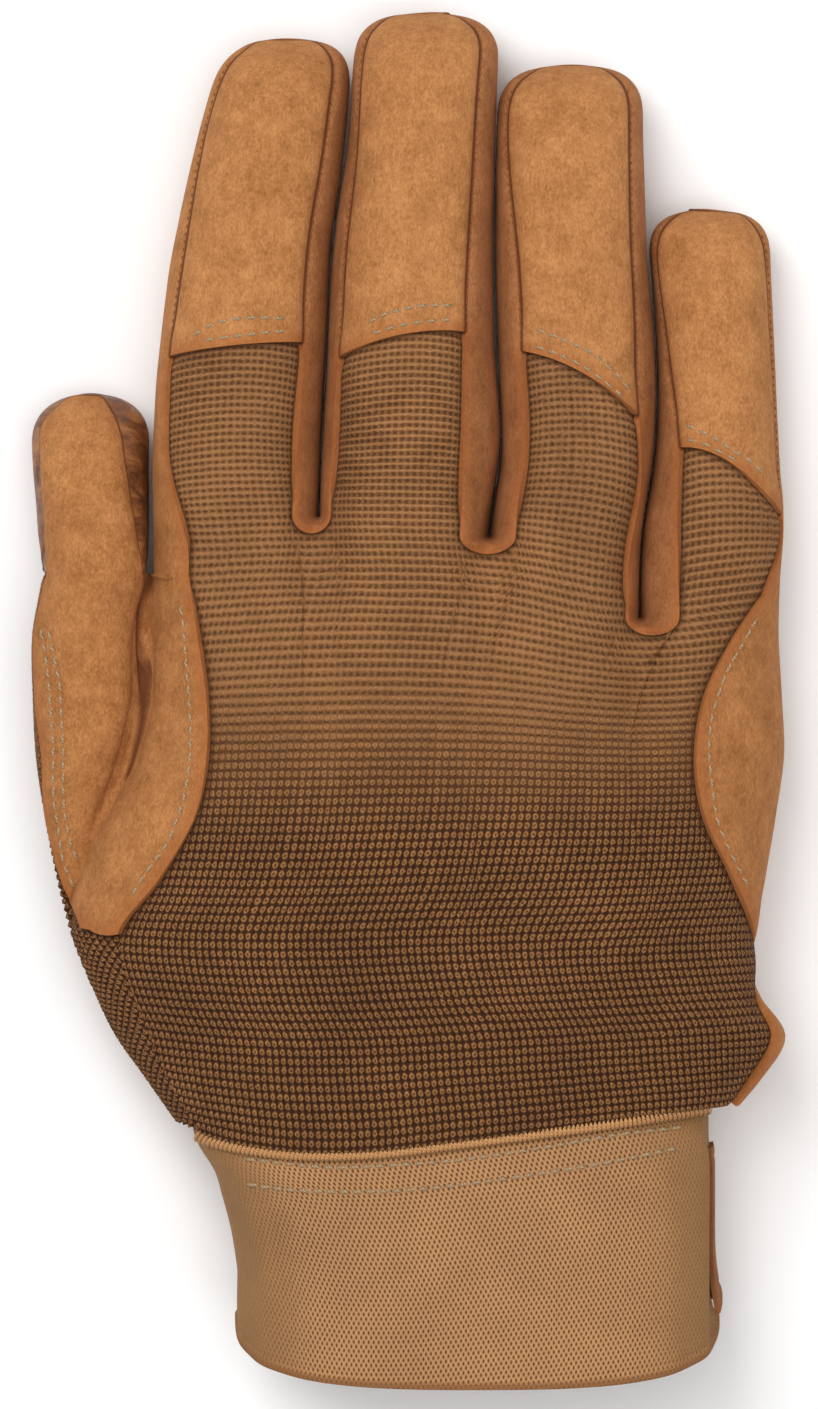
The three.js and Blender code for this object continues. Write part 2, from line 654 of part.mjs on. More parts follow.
// A point of the cuff's outside, at a turn round it (0 at the little-finger side, a quarter turn
// on its back) and a share of the way down from its hidden upper edge to its hem
function cuffPoint(turn, share, out) {
  const wristLow = sideways("side", 0);
  const wristHigh = sideways("edge", 0);
  const lift = tabWall + 4 * seamGap;
  const cosine = Math.cos(turn);
  const sine = Math.sin(turn);
  const shape = sine > 0 ? domeShape : bottomShape;
  const place = Math.sign(cosine) * Math.abs(cosine) ** (2 / shape);
  const round = Math.abs(sine) ** (2 / shape);
  const across = (place + 1) / 2;
  const edge = sine > 0 ? wristY(across) : mix(wristY(0), wristY(1), across);
  const bow = hemBow * (sine > 0 ? 1 : underBow);
  const hem = hemBow - cuffLength - bow * dome(place, hemShape);
  const y = mix(edge + cuffLap, hem, share);
  const down = clamp((edge - y) / (cuffLength - hemBow / 2), 0, 1);
  const narrow = follow(cuffShape, "down", "narrow", down);
  const inset = (knitWall + 2 * seamGap) * follow(cuffShape, "down", "under", down);
  const high = wristHigh - inset + out;
  const low = mix(wristLow, wristHigh - cuffWidth, narrow) + inset - out;
  const mid = mix(heights("mid", 0), lift + cuffDepth * cuffOutline, narrow);
  const top = mix(heights("top", 0), lift + cuffDepth, narrow) - inset + out;
  const under = mix(inset, lift, smooth(down * cuffLength / tabTop)) - out;
  const x = (low + high) / 2 + (high - low) / 2 * place;
  const z = sine > 0 ? mid + (top - mid) * round : mid - (mid - under) * round;
  return new THREE.Vector3(x, y, z);
}

// A skin of its own: rows of points in a grid, joined end to end when it is a ring
function gridSkin(rows, columns, ring, pointAt) {
  const skinPoints = [];
  const skinFaces = [];
  const width = ring ? columns : columns + 1;
  for (let row = 0; row <= rows; row += 1) {
    for (let column = 0; column < width; column += 1) skinPoints.push(pointAt(row, column));
  }
  for (let row = 0; row < rows; row += 1) {
    for (let column = 0; column < columns; column += 1) {
      const a = row * width + column;
      const b = row * width + (column + 1) % width;
      const c = b + width;
      const d = a + width;
      skinFaces.push({ corners: [a, b, c] }, { corners: [a, c, d] });
    }
  }
  return { skinPoints, skinFaces };
}

function skinWall({ skinPoints, skinFaces }, wall) {
  return wallGeometry(skinPoints, skinFaces, skinNormals(skinPoints, skinFaces), wall);
}

function cuffGeometry() {
  const skin = gridSkin(cuffRows.length - 1, cuffColumns, true, (row, column) => (
    cuffPoint(2 * Math.PI * column / cuffColumns, cuffRows[row], 0)));
  return skinWall(skin, cuffWall);
}

// The tab lies on the cuff from just above its side to past the middle of its underside
function tabGeometry() {
  const top = (tabTop + cuffLap) / cuffLength;
  const bottom = (tabTop + tabWidth) / cuffLength;
  const skin = gridSkin(tabRows, tabColumns, false, (row, column) => {
    const turn = mix(tabTo, tabFrom, column / tabColumns) * Math.PI / 180;
    return cuffPoint(turn, mix(top, bottom, row / tabRows), tabWall + 2 * seamGap);
  });
  return skinWall(skin, tabWall);
}

const colours = {
  knit: 0x6f4a2e,
  suede: 0xbe8250,
  side: 0xa56c44,
  grip: 0x7b4a2a,
  cuff: 0xaa7d53,
  tab: 0x835b3b,
};

function material(color, roughness) {
  return new THREE.MeshStandardMaterial({ color, roughness, metalness: 0 });
}

const panels = {
  back_knit: { wall: knitWall, color: colours.knit },
  thumb_side_knit: { wall: knitWall, color: colours.knit },
  palm: { wall: suedeWall, color: colours.suede },
  thumb_back: { wall: suedeWall, color: colours.suede },
  thumb_grip: { wall: gripWall, color: colours.grip },
  fourchette_index_middle: { wall: suedeWall, color: colours.side },
  fourchette_middle_ring: { wall: suedeWall, color: colours.side },
  fourchette_ring_little: { wall: suedeWall, color: colours.side },
  tip_back_index: { wall: suedeWall, color: colours.suede },
  tip_back_middle: { wall: suedeWall, color: colours.suede },
  tip_back_ring: { wall: suedeWall, color: colours.suede },
  tip_back_little: { wall: suedeWall, color: colours.suede },
};

function mesh(name, geometry, color, roughness) {
  const piece = new THREE.Mesh(geometry, material(color, roughness));
  piece.name = name;
  return piece;
}

const roots = Object.fromEntries(digits.map((name) => [name, addDigit(name)]));
const webs = fingers.map((name, number) => addCrotch(number, roots[digits[number]], roots[name]));
addPalm(roots, webs);
const normals = skinNormals(points, faces);

const glove = new THREE.Group();
for (const [name, { wall, color }] of Object.entries(panels)) {
  const own = faces.filter((face) => face.panel === name);
  glove.add(mesh(name, wallGeometry(points, own, normals, wall), color, 0.9));
}

glove.add(mesh("cuff", cuffGeometry(), colours.cuff, 0.95));
glove.add(mesh("wrist_tab", tabGeometry(), colours.tab, 0.85));

// The origin is under the middle of the glove, on the surface that it rests on
const box = new THREE.Box3().setFromObject(glove);
const centre = box.getCenter(new THREE.Vector3());
glove.position.set(-centre.x, -centre.y, -box.min.z);

export default glove;
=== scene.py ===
import math
import bpy
import numpy as np
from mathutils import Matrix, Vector
from mathutils.bvhtree import BVHTree


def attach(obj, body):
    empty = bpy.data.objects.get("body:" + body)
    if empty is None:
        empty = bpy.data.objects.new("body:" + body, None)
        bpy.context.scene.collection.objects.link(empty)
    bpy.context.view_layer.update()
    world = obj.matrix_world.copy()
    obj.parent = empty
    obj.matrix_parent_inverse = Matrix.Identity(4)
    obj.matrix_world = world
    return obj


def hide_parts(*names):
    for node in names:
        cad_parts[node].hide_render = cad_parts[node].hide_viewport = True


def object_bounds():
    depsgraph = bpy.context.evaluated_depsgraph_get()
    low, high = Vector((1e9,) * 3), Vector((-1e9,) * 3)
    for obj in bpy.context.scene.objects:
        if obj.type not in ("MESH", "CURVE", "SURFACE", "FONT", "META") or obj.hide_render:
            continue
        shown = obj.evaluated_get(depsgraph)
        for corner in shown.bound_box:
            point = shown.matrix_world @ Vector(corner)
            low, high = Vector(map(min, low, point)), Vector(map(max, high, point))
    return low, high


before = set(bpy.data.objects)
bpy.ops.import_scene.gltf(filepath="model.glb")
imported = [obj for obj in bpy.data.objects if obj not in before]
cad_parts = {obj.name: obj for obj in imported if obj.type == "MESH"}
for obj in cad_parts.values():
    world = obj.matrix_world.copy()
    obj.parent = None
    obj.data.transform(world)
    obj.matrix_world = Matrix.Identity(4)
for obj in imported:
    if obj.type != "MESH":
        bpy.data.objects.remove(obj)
cadBox = [list(corner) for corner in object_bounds()]

# Right-hand mechanic's glove, palm down. Shapes are worked out in millimetres from the wrist line
# (y = 0, fingers along +Y) and moved under the CAD box's middle when a mesh is made.
digitWidth = {"thumb": 20.6, "index": 29.6, "middle": 31.2, "ring": 26.4, "little": 25.2}
digitLength = {"thumb": 33.6, "index": 88.7, "middle": 97, "ring": 102.2, "little": 76.3}
digitDepth = {"thumb": 27, "index": 34, "middle": 36, "ring": 34.5, "little": 31}
crotchReach = {"thumb": 97.5, "index": 105.9, "middle": 102.2, "ring": 87.7, "little": 94.8}
palmDepth, fingerGap = 45, 0.4
walls = {"knit": 1.5, "suede": 1.2, "grip": 1.3, "cuff": 1.7, "tab": 1.6}
cuffSize = {"length": 46, "width": 86, "depth": 40, "lap": 3, "bow": 12}
tabSize = {"top": 8, "width": 33, "from": 10, "to": -120}
fingers = ["index", "middle", "ring", "little"]
digits = ["thumb"] + fingers
knuckleWidth = sum(digitWidth[name] for name in fingers)
palmLength = crotchReach["index"]
handLeft = -0.408 * knuckleWidth

# Lines between the fingers: rise, then the sideways drift of the five lines
fingerLines = np.array([
    [0, -0.003, -0.003, -0.005, -0.002, -0.002], [0.16, 0, 0, -0.005, 0.003, 0.002],
    [0.304, 0, 0.005, 0.013, 0.024, -0.003], [0.464, 0.011, 0.014, 0.006, 0.025, -0.011],
    [0.624, 0.033, 0.022, 0.003, 0.013, -0.016], [0.785, 0.067, 0.044, 0.005, 0.008, -0.016],
    [0.945, 0.111, 0.056, 0.011, 0.008, -0.016]])
# Seam inset on each side of a digit's back, as shares of its width, up the digit
insetUp = [0, 0.15, 0.35, 0.6, 0.85, 1]
seamInset = {
    "thumb": [[0.03, 0.03, 0.03, 0.03, 0.03, 0.07], [0.03, 0.05, 0.1, 0.16, 0.23, 0.27]],
    "index": [[0.23, 0.11, 0.072, 0.07, 0.04, 0.07], [0.157, 0.14, 0.135, 0.13, 0.12, 0.1]],
    "middle": [[0.065, 0.065, 0.07, 0.075, 0.05, 0.07], [0.17, 0.21, 0.18, 0.14, 0.12, 0.1]],
    "ring": [[0.17, 0.16, 0.15, 0.14, 0.06, 0.07], [0.09, 0.06, 0.12, 0.1, 0.09, 0.09]],
    "little": [[0.27, 0.25, 0.2, 0.09, 0.04, 0.07], [0.15, 0.02, 0.02, 0.02, 0.03, 0.07]]}
tips = {
    "thumb": {"seam": [0.5, 0.5, 0.5], "lean": 0, "round": 9, "square": 2.3},
    "index": {"seam": [0.643, 0.623, 0.616], "lean": 0, "round": 10, "square": 3},
    "middle": {"seam": [0.637, 0.598, 0.592], "lean": 0.8, "round": 9, "square": 2.8},
    "ring": {"seam": [0.504, 0.541, 0.616], "lean": 0, "round": 10, "square": 2.8},
    "little": {"seam": [0.56, 0.596, 0.714], "lean": -1.1, "round": 9, "square": 2.8}}
# Hand from wrist to crotches: places across as shares of the knuckle width, heights of the depth
sectionNames = ["along", "side", "gusset", "crease", "saddle", "patch", "edge", "hand", "top",
                "thumbTop", "mid"]
sections = np.array([
    [0, -0.363, -0.355, -0.347, -0.333, 0.484, 0.492, -0.363, 0.97, 0.45, 0.45],
    [0.086, -0.42, -0.411, -0.398, -0.383, 0.546, 0.561, -0.42, 0.99, 0.44, 0.44],
    [0.154, -0.465, -0.456, -0.435, -0.41, 0.577, 0.597, -0.465, 1, 0.43, 0.43],
    [0.221, -0.496, -0.486, -0.462, -0.435, 0.552, 0.561, -0.496, 1, 0.42, 0.42],
    [0.325, -0.536, -0.514, -0.501, -0.457, 0.548, 0.552, -0.535, 0.99, 0.42, 0.41],
    [0.423, -0.56, -0.553, -0.497, -0.391, 0.51, 0.568, -0.523, 0.98, 0.48, 0.39],
    [0.524, -0.578, -0.574, -0.484, -0.337, 0.465, 0.583, -0.494, 0.98, 0.54, 0.36],
    [0.626, -0.592, -0.583, -0.443, -0.317, 0.452, 0.597, -0.452, 0.97, 0.58, 0.34],
    [0.727, -0.597, -0.59, -0.421, -0.319, 0.467, 0.594, -0.429, 0.95, 0.6, 0.32],
    [0.828, -0.598, -0.594, -0.423, -0.332, 0.514, 0.589, -0.421, 0.9, 0.6, 0.31],
    [0.921, -0.584, -0.579, -0.418, -0.348, 0.573, 0.59, -0.412, 0.85, 0.6, 0.31],
    [1.02, -0.584, -0.579, -0.413, -0.372, 0.59, 0.594, -0.408, 0.8, 0.6, 0.31],
    [1.2, -0.584, -0.579, -0.413, -0.388, 0.588, 0.592, -0.408, 0.74, 0.58, 0.31]])
thumbOutline = np.array([[0, 0.01], [0.3, 0.03], [0.55, 0.01], [0.8, -0.02], [1, -0.05]])
cuffShape = np.array([[0, 0, 1], [0.09, 0.18, 0.5], [0.225, 0.58, 0.05], [0.34, 0.72, 0],
                      [0.5, 0.88, 0], [0.67, 1, 0]])
wristEdge = np.array([[0, -0.013], [0.06, 0.014], [0.2, 0.035], [0.35, 0.035], [0.5, 0.02],
                      [0.75, -0.009], [1, -0.041]])
tipEnd, tipFall, rootBlend = math.radians(80), 18, 13
valley = {"depth": 7, "width": 5.5, "fade": 15}
bottomSeam, bottomFlat, domeShape, bottomShape, roundShape = 3.4, 1.07, 2.5, 3, 2.2
digitTaper, outlineShare = 0.27, 0.42  # depth lost up a digit, and its outline's height, as shares
crotchDip = [1.6, 3.3, 3.3, 3.3]
panelNames = ["back_knit", "thumb_side_knit", "palm", "thumb_back", "thumb_grip",
              "fourchette_index_middle", "fourchette_middle_ring", "fourchette_ring_little",
              "tip_back_index", "tip_back_middle", "tip_back_ring", "tip_back_little"]
sidePanels = {"thumb": [4, 4], "index": [2, 5], "middle": [5, 6], "ring": [6, 7], "little": [7, 2]}


# From a at share 0 to b at share 1 in a straight line
def mix(a, b, share):
    return a + (b - a) * share


# 0 below 0, 1 above 1, and 3t2 - 2t3 between
def smooth(value):
    t = np.clip(value, 0, 1)
    return t * t * (3 - 2 * t)


# Cubic pieces through (xs, ys); each slope is that of the line between the two neighbours
def follow(xs, ys, at):
    xs, ys = np.asarray(xs, float), np.asarray(ys, float)
    at = np.clip(at, xs[0], xs[-1])
    number = np.arange(len(xs))
    before, after = np.maximum(number - 1, 0), np.minimum(number + 1, len(xs) - 1)
    slope = (ys[after] - ys[before]) / (xs[after] - xs[before])
    i = np.clip(np.searchsorted(xs, at, side="right") - 1, 0, len(xs) - 2)
    step = xs[i + 1] - xs[i]
    t = (at - xs[i]) / step
    t2, t3 = t * t, t * t * t
    return ((2 * t3 - 3 * t2 + 1) * ys[i] + (t3 - 2 * t2 + t) * step * slope[i]
            + (3 * t2 - 2 * t3) * ys[i + 1] + (t3 - t2) * step * slope[i + 1])


# (1 - |p|^n)^(1/n): 1 in the middle, 0 at |p| = 1
def dome(place, shape):
    return np.maximum(0, 1 - np.minimum(1, np.abs(place)) ** shape) ** (1 / shape)


# A share from the hand's table at height y
def section(name, y):
    return follow(sections[:, 0], sections[:, sectionNames.index(name)], np.asarray(y) / palmLength)


# The same as mm across the hand
def sideways(name, y):
    return section(name, y) * knuckleWidth


# The same as mm above the floor
def heights(name, y):
    return section(name, y) * palmDepth


lineStart = np.concatenate([[0], np.cumsum([digitWidth[name] for name in fingers])])
crotchY = [crotchReach[name] for name in digits[:4]]
tipY = {name: crotchReach[name if name != "little" else "ring"] + digitLength[name] for name in digits}
riseSpan = tipY["middle"] - crotchReach["ring"]


# Lines beside and between the fingers: the widths summed from the hand's left, plus the table's drift
def lineX(number, y):
    rise = (y - crotchReach["ring"]) / riseSpan
    drift = follow(fingerLines[:, 0], fingerLines[:, number + 1], rise)
    return handLeft + lineStart[number] + drift * knuckleWidth


# Height of a digit's root row, from its thumb side (-1) to its little-finger side (1)
def rootY(name, across):
    ends = [c + d for c, d in zip(crotchY, crotchDip)] + [crotchReach["little"]]
    place = digits.index(name)
    return mix(ends[max(place - 1, 0)], ends[place], (across + 1) / 2)


# 0 at a digit's root, 1 at its tip
def climb(name, y):
    return np.clip((y - rootY(name, 0)) / (tipY[name] - rootY(name, 0)), 0, 1)


# Sides of a digit at height y, drawn in round over its last few millimetres
def digitSides(name, y):
    number = digits.index(name) - 1
    if name == "thumb":
        high = lineX(0, y) - 2 * fingerGap
        low = high - digitWidth["thumb"] * (1 - follow(*thumbOutline.T, climb(name, y)))
        low = mix(sideways("side", y), low, smooth((y - crotchReach["thumb"]) / rootBlend))
    else:
        low = lineX(number, y) + (fingerGap / 2 if number > 0 else 0)
        high = lineX(number + 1, y) - (fingerGap / 2 if number < 3 else 0)
        if number == 3:
            high = mix(sideways("edge", y), high, smooth((y - crotchReach["little"]) / rootBlend))
    tip = tips[name]
    near = np.clip((y - (tipY[name] - tip["round"])) / tip["round"], 0, math.sin(tipEnd))
    half = (high - low) / 2 * dome(near, tip["square"])
    middle = (low + high) / 2
    return middle - half, middle + half, middle, half


# Height of a digit's outline, and how far its back rises and its front drops from it
def digitHeights(name, y):
    fall = np.clip((y - (tipY[name] - tipFall)) / tipFall, 0, math.sin(tipEnd))
    back = digitDepth[name] * (1 - digitTaper * climb(name, y))
    mid = back * outlineShare
    return mid, (back - mid) * dome(fall, roundShape), mid * dome(fall, roundShape)


# Back of the hand: a dome, lowered along the valleys between the fingers, with the thumb's own
# round back beside it
def sheetTop(x, y):
    low, high, mid = sideways("hand", y), sideways("edge", y), heights("mid", y)
    place = (x - (low + high) / 2) / ((high - low) / 2)
    z = mid + (heights("top", y) - mid) * dome(place, domeShape)
    z = np.where(place < -1, mid + (place + 1) * (high - low), z)
    for number in (1, 2, 3):
        away = (x - lineX(number, np.maximum(y, crotchY[number]))) / valley["width"]
        z = z - valley["depth"] * np.exp(-away ** 2 + np.minimum(0, (y - crotchY[number]) / valley["fade"]))
    side, fold = sideways("side", y), sideways("crease", y) + 1.5
    thumbPlace = (x - (side + fold) / 2) / ((fold - side) / 2)
    thumbZ = mid + (heights("thumbTop", y) - mid) * dome(thumbPlace, roundShape)
    thumbZ = np.where(thumbPlace > 1, mid - (thumbPlace - 1) * (fold - side), thumbZ)
    blend = np.clip(0.5 + (thumbZ - z) / 8, 0, 1)
    return mix(z, thumbZ, blend) + 2 * blend * (1 - blend)


# Underside of the hand: its outline's height less a flattened dome, never below the floor
def sheetBottom(x, y):
    low, high = sideways("side", y), sideways("edge", y)
    place = (x - (low + high) / 2) / ((high - low) / 2)
    return heights("mid", y) * np.maximum(0, 1 - bottomFlat * dome(place, bottomShape))


# Back of a digit: its outline's height plus a dome across it
def digitTop(name, x, y):
    low, high, middle, half = digitSides(name, y)
    mid, rise, drop = digitHeights(name, y)
    return mid + rise * dome((x - middle) / half, domeShape)


# Front of a digit: its outline's height less a flattened dome
def digitBottom(name, x, y):
    low, high, middle, half = digitSides(name, y)
    mid, rise, drop = digitHeights(name, y)
    return np.maximum(0, mid - drop * bottomFlat * dome((x - middle) / half, bottomShape))


# Column places from -1 to 1 as sines of evenly spaced angles, closer together at the sides
def spread(columns):
    turn = math.radians(75)
    return np.sin(turn * np.linspace(-1, 1, columns + 1)) / math.sin(turn)


# Heights of a digit's rows: s runs 0 to 1 up to the back seam, to 2 at the cap and 3 on the tip
def rowHeights(name, s, across):
    tip = tips[name]
    first, second, third = tip["seam"]
    bend = second + (third - first) / 2 * across + ((first + third) / 2 - second) * across ** 2
    seam = tipY[name] - bend * digitLength[name]
    capStart = tipY[name] - tip["round"]
    turn = tipEnd * np.clip(s - 2, 0, 1)
    sine = np.sin(turn)
    cap = capStart + tip["round"] * sine + tip["lean"] * across * sine ** 2 * dome(sine, tip["square"])
    lower = mix(rootY(name, across), seam, np.clip(s, 0, 1))
    return np.where(s <= 1, lower, np.where(s <= 2, mix(seam, capStart, np.clip(s - 1, 0, 1)), cap))


# Points from a back seam round a side to the front seam: a quarter turn on each half
def wallPoints(above, below, outX, mid, topAt, underAt, plain, count):
    step = np.arange(1, 2 * count)[None, :]
    upper = step <= count
    turn = np.pi / 2 * np.where(upper, step, 2 * count - step) / count
    seamX = np.where(upper, above[:, :1], below[:, :1])
    seamZ = np.where(upper, above[:, 2:], below[:, 2:])
    x = mix(seamX, outX[:, None], np.sin(turn))
    y = above[:, 1:2] + 0 * x
    rounded = mid[:, None] + (seamZ - mid[:, None]) * np.cos(turn)
    skin = np.where(upper, topAt(x, y), underAt(x, y))
    skin = np.where(step == count, mid[:, None], skin)
    plain = np.broadcast_to(np.asarray(plain, float).reshape(-1, 1), skin.shape)
    yOut = mix(above[:, 1:2], below[:, 1:2], step / (2 * count))
    return np.stack([x, yOut, mix(skin, rounded, plain)], -1)


# One digit as rings of points: back, underside and both side walls
def digitRings(name, s, columns, count):
    across, s = spread(columns)[None, :], s[:, None]
    y = rowHeights(name, s, across)
    low, high, middle, half = digitSides(name, y)
    up = climb(name, y)
    left = mix(low, high, follow(insetUp, seamInset[name][0], up))
    right = mix(high, low, follow(insetUp, seamInset[name][1], up))
    x = mix(left, right, (across + 1) / 2)

    def share(yy, place):
        return smooth((yy - rootY(name, place)) / rootBlend)

    top = np.stack([x, y, mix(sheetTop(x, y), digitTop(name, x, y), share(y, across))], -1)
    underY = mix(y[:, :1], y[:, -1:], (across + 1) / 2)
    underLow, underHigh, _, underHalf = digitSides(name, underY)
    inset = np.minimum(bottomSeam, underHalf * 0.45)
    underX = mix(underLow + inset, underHigh - inset, (across + 1) / 2)
    underZ = mix(sheetBottom(underX, underY), digitBottom(name, underX, underY), share(underY, across))
    under = np.stack([underX, underY, underZ], -1)
    rings = {"top": top, "under": under}
    for key, end, place, outX in (("low", 0, -1, low[:, 0]), ("high", -1, 1, high[:, -1])):
        part = share(y[:, end], place)
        outer = (name == "thumb" and place < 0) or (name == "little" and place > 0)
        mid = mix(heights("mid", y[:, end]), digitHeights(name, y[:, end])[0], part)
        rings[key] = wallPoints(
            top[:, end], under[:, end], outX, mid,
            lambda xx, yy: mix(sheetTop(xx, yy), digitTop(name, xx, yy), share(yy, place)),
            lambda xx, yy: mix(sheetBottom(xx, yy), digitBottom(name, xx, yy), share(yy, place)),
            0 if outer else 1 - part, count)
    return rings


# Height of the wrist's edge at a share of the way across
def wristY(across):
    return -follow(*wristEdge.T, across) * palmLength


# Share of the way across the hand, from the thumb's side
def wristAcross(x, y):
    return (x - sideways("side", y)) / (sideways("edge", y) - sideways("side", y))


# Rows from the crotches to the wrist: each point keeps its share of the way across its stretch
# and drifts to an even share at the wrist
def palmSheet(root, shares, stretches, heightAt, wristAt):
    shares = shares[:, None]
    grid = np.zeros((len(shares), len(root), 3))
    for start, end, low, high in stretches:
        i = np.arange(start, end + 1)
        rootX, rootYs = root[i, 0], root[i, 1]
        rootShare = np.clip((rootX - low(rootYs)) / (high(rootYs) - low(rootYs)), 0, 1)
        place = mix(rootShare, (i - start) / (end - start), 0.8 * shares)
        place[:, 0], place[:, -1] = 0, 1
        guess = mix(low(0), high(0), place)
        y = mix(rootYs, wristAt(wristAcross(guess, 0)), shares)
        grid[:, i, 0], grid[:, i, 1] = mix(low(y), high(y), place), y
    grid[..., 2] = heightAt(grid[..., 0], grid[..., 1])
    return grid


# Even steps from end to end, each stretch with its own count
def steps(ends, counts):
    parts = [np.linspace(a, b, count + 1)[1:] for a, b, count in zip(ends, ends[1:], counts)]
    return np.concatenate([ends[:1], *parts])


# Running length along one axis of a grid of places, from 0
def running(places, axis=0):
    step = np.linalg.norm(np.diff(places, axis=axis), axis=-1)
    return np.insert(np.cumsum(step, axis), 0, 0, axis)


# The whole glove's skin as grids of shared points. density gives the faces along each stretch.
def makeSkin(density):
    stock, quads, labels, total = [], [], [], [0]

    def store(block):
        stock.append(block.reshape(-1, 3))
        index = total[0] + np.arange(block.size // 3).reshape(block.shape[:-1])
        total[0] += index.size
        return index

    def cover(rows, turned, panel):
        a, b, c, d = rows[:-1, :-1], rows[:-1, 1:], rows[1:, 1:], rows[1:, :-1]
        quads.append(np.stack([a, d, c, b] if turned else [a, b, c, d], -1).reshape(-1, 4))
        labels.append(np.broadcast_to(panel, a.shape).ravel())

    count = density["wall"]
    levels = 2 * count
    s = steps([0, 1, 2, 3], [density[key] for key in ("lower", "upper", "tip")])
    roots, tops, tipEnds = {}, {}, []
    for name in digits:
        columns = density["thumb"] if name == "thumb" else density["back"]
        rings = digitRings(name, s, columns, count)
        top, under = store(rings["top"]), store(rings["under"])
        low = np.concatenate([top[:, :1], store(rings["low"]), under[:, :1]], 1)
        high = np.concatenate([top[:, -1:], store(rings["high"]), under[:, -1:]], 1)
        front = 4 if name == "thumb" else 2
        back = np.where(np.arange(len(s) - 1) < density["lower"], 0, 7 + digits.index(name))[:, None]
        cover(top, False, 3 if name == "thumb" else back)
        cover(under, True, front)
        cover(low, True, sidePanels[name][0])
        cover(high, False, sidePanels[name][1])
        # closed tip: a patch between the four ends, bulged a little forwards
        v = np.linspace(0, 1, levels + 1)[1:-1, None, None]
        h = (spread(columns)[None, 1:-1, None] + 1) / 2
        tipEnds += [top[-1], under[-1], low[-1], high[-1]]
        ends = {key: rings[key][-1] for key in ("top", "under", "low", "high")}
        t, u = ends["top"], ends["under"]
        patch = (mix(t[None, 1:-1], u[None, 1:-1], v) + mix(ends["low"][:, None], ends["high"][:, None], h)
                 - mix(mix(t[0], t[-1], h), mix(u[0], u[-1], h), v))
        patch[..., 1] += 0.35 * (np.sin(np.pi * v) * np.sin(np.pi * h))[..., 0]
        inner = np.concatenate([low[-1, 1:-1, None], store(patch), high[-1, 1:-1, None]], 1)
        cover(np.concatenate([top[-1:], inner, under[-1:]], 0), False, front)
        roots[name] = {"top": top[0], "under": under[0], "low": low[0], "high": high[0]}
        tops[name] = top

    webs = []
    pts = np.concatenate(stock)
    for number in range(4):
        columns = density["saddle"] if number == 0 else density["crotch"]
        left, right = roots[digits[number]]["high"], roots[digits[number + 1]]["low"]
        start, end = pts[left][:, None], pts[right][:, None]
        turn = np.pi * np.arange(1, columns)[None, :] / columns
        reach = end[..., 0] - start[..., 0]
        share = (1 - np.cos(turn)) / 2
        x = mix(start[..., 0], end[..., 0], share)
        y = mix(start[..., 1], end[..., 1], share) - crotchDip[number] * reach / reach[0] * np.sin(turn)
        z = mix(start[..., 2], end[..., 2], share)
        z[0], z[-1] = sheetTop(x[0], y[0]), sheetBottom(x[-1], y[-1])
        z = np.minimum(z, z[:1] - 0.1 * np.arange(len(z))[:, None])
        web = np.concatenate([left[:, None], store(np.stack([x, y, z], -1)), right[:, None]], 1)
        cover(web, False, 2 if number == 0 else 4 + number)
        webs.append({"top": web[0], "under": web[-1]})

    pts = np.concatenate(stock)
    start = {}
    for key in ("top", "under"):
        line = [roots["thumb"][key]]
        for number, name in enumerate(fingers):
            line += [webs[number][key][1:-1], roots[name][key]]
        start[key] = np.concatenate(line)
    thumbEnd, last = density["thumb"], len(start["top"]) - 1
    saddleEnd = thumbEnd + density["saddle"]
    shares = steps([0, 0.31, 0.6466, 1], [density[key] for key in ("grip", "heel", "wrist")])

    def at(name, shift=0):
        return lambda y: sideways(name, y) + shift

    topGrid = palmSheet(pts[start["top"]], shares[1:], [
        (0, thumbEnd, at("gusset"), at("crease")), (thumbEnd, saddleEnd, at("crease"), at("saddle")),
        (saddleEnd, last, at("saddle"), at("patch"))], sheetTop, wristY)
    underGrid = palmSheet(pts[start["under"]], shares[1:], [
        (0, last, at("side", bottomSeam), at("edge", -bottomSeam))], sheetBottom,
        lambda across: mix(wristY(0), wristY(1), np.clip(across, 0, 1)))
    top = np.concatenate([start["top"][None], store(topGrid)], 0)
    under = np.concatenate([start["under"][None], store(underGrid)], 0)
    sides = {}
    for key, end, name, first in (("low", 0, "side", roots["thumb"]["low"]),
                                  ("high", -1, "edge", roots["little"]["high"])):
        seam = topGrid[:, end]
        outX, mid = sideways(name, seam[:, 1]), heights("mid", seam[:, 1])
        inner = store(wallPoints(seam, underGrid[:, end], outX, mid, sheetTop, sheetBottom, 0, count))
        rest = np.concatenate([top[1:, [end]], inner, under[1:, [end]]], 1)
        sides[key] = np.concatenate([first[None], rest], 0)
    row = np.arange(len(shares) - 1)[:, None]
    column = np.arange(last)[None, :]
    low = row >= density["grip"] + density["heel"]
    topPanel = np.where(column >= saddleEnd, 0, np.where(low, 1, np.where(column < thumbEnd, 3, 2)))
    underPanel = np.where((column < thumbEnd) & (row < density["grip"]), 4, 2)
    cover(top[::-1], False, topPanel[::-1])
    cover(under[::-1], True, underPanel[::-1])
    cover(sides["low"][::-1], True, 1)
    cover(sides["high"][::-1], False, 2)

    points, quads, labels = np.concatenate(stock), np.concatenate(quads), np.concatenate(labels)
    a, b, c, d = (points[quads[:, k]] for k in range(4))
    facing = np.cross(c - a, d - b)
    corners = quads.ravel()
    normals = [np.bincount(corners, np.repeat(facing[:, k], 4), len(points)) for k in range(3)]
    normals = np.stack(normals, -1)
    normals /= np.maximum(np.linalg.norm(normals, axis=1, keepdims=True), 1e-9)

    # flat: each back point's distance across the cloth from the middle finger's line, and its y
    flat = points[:, :2].copy()

    def across(index, reference):
        run = running(points[index][..., [0, 2]], 1)
        return run - run[:, [reference]]

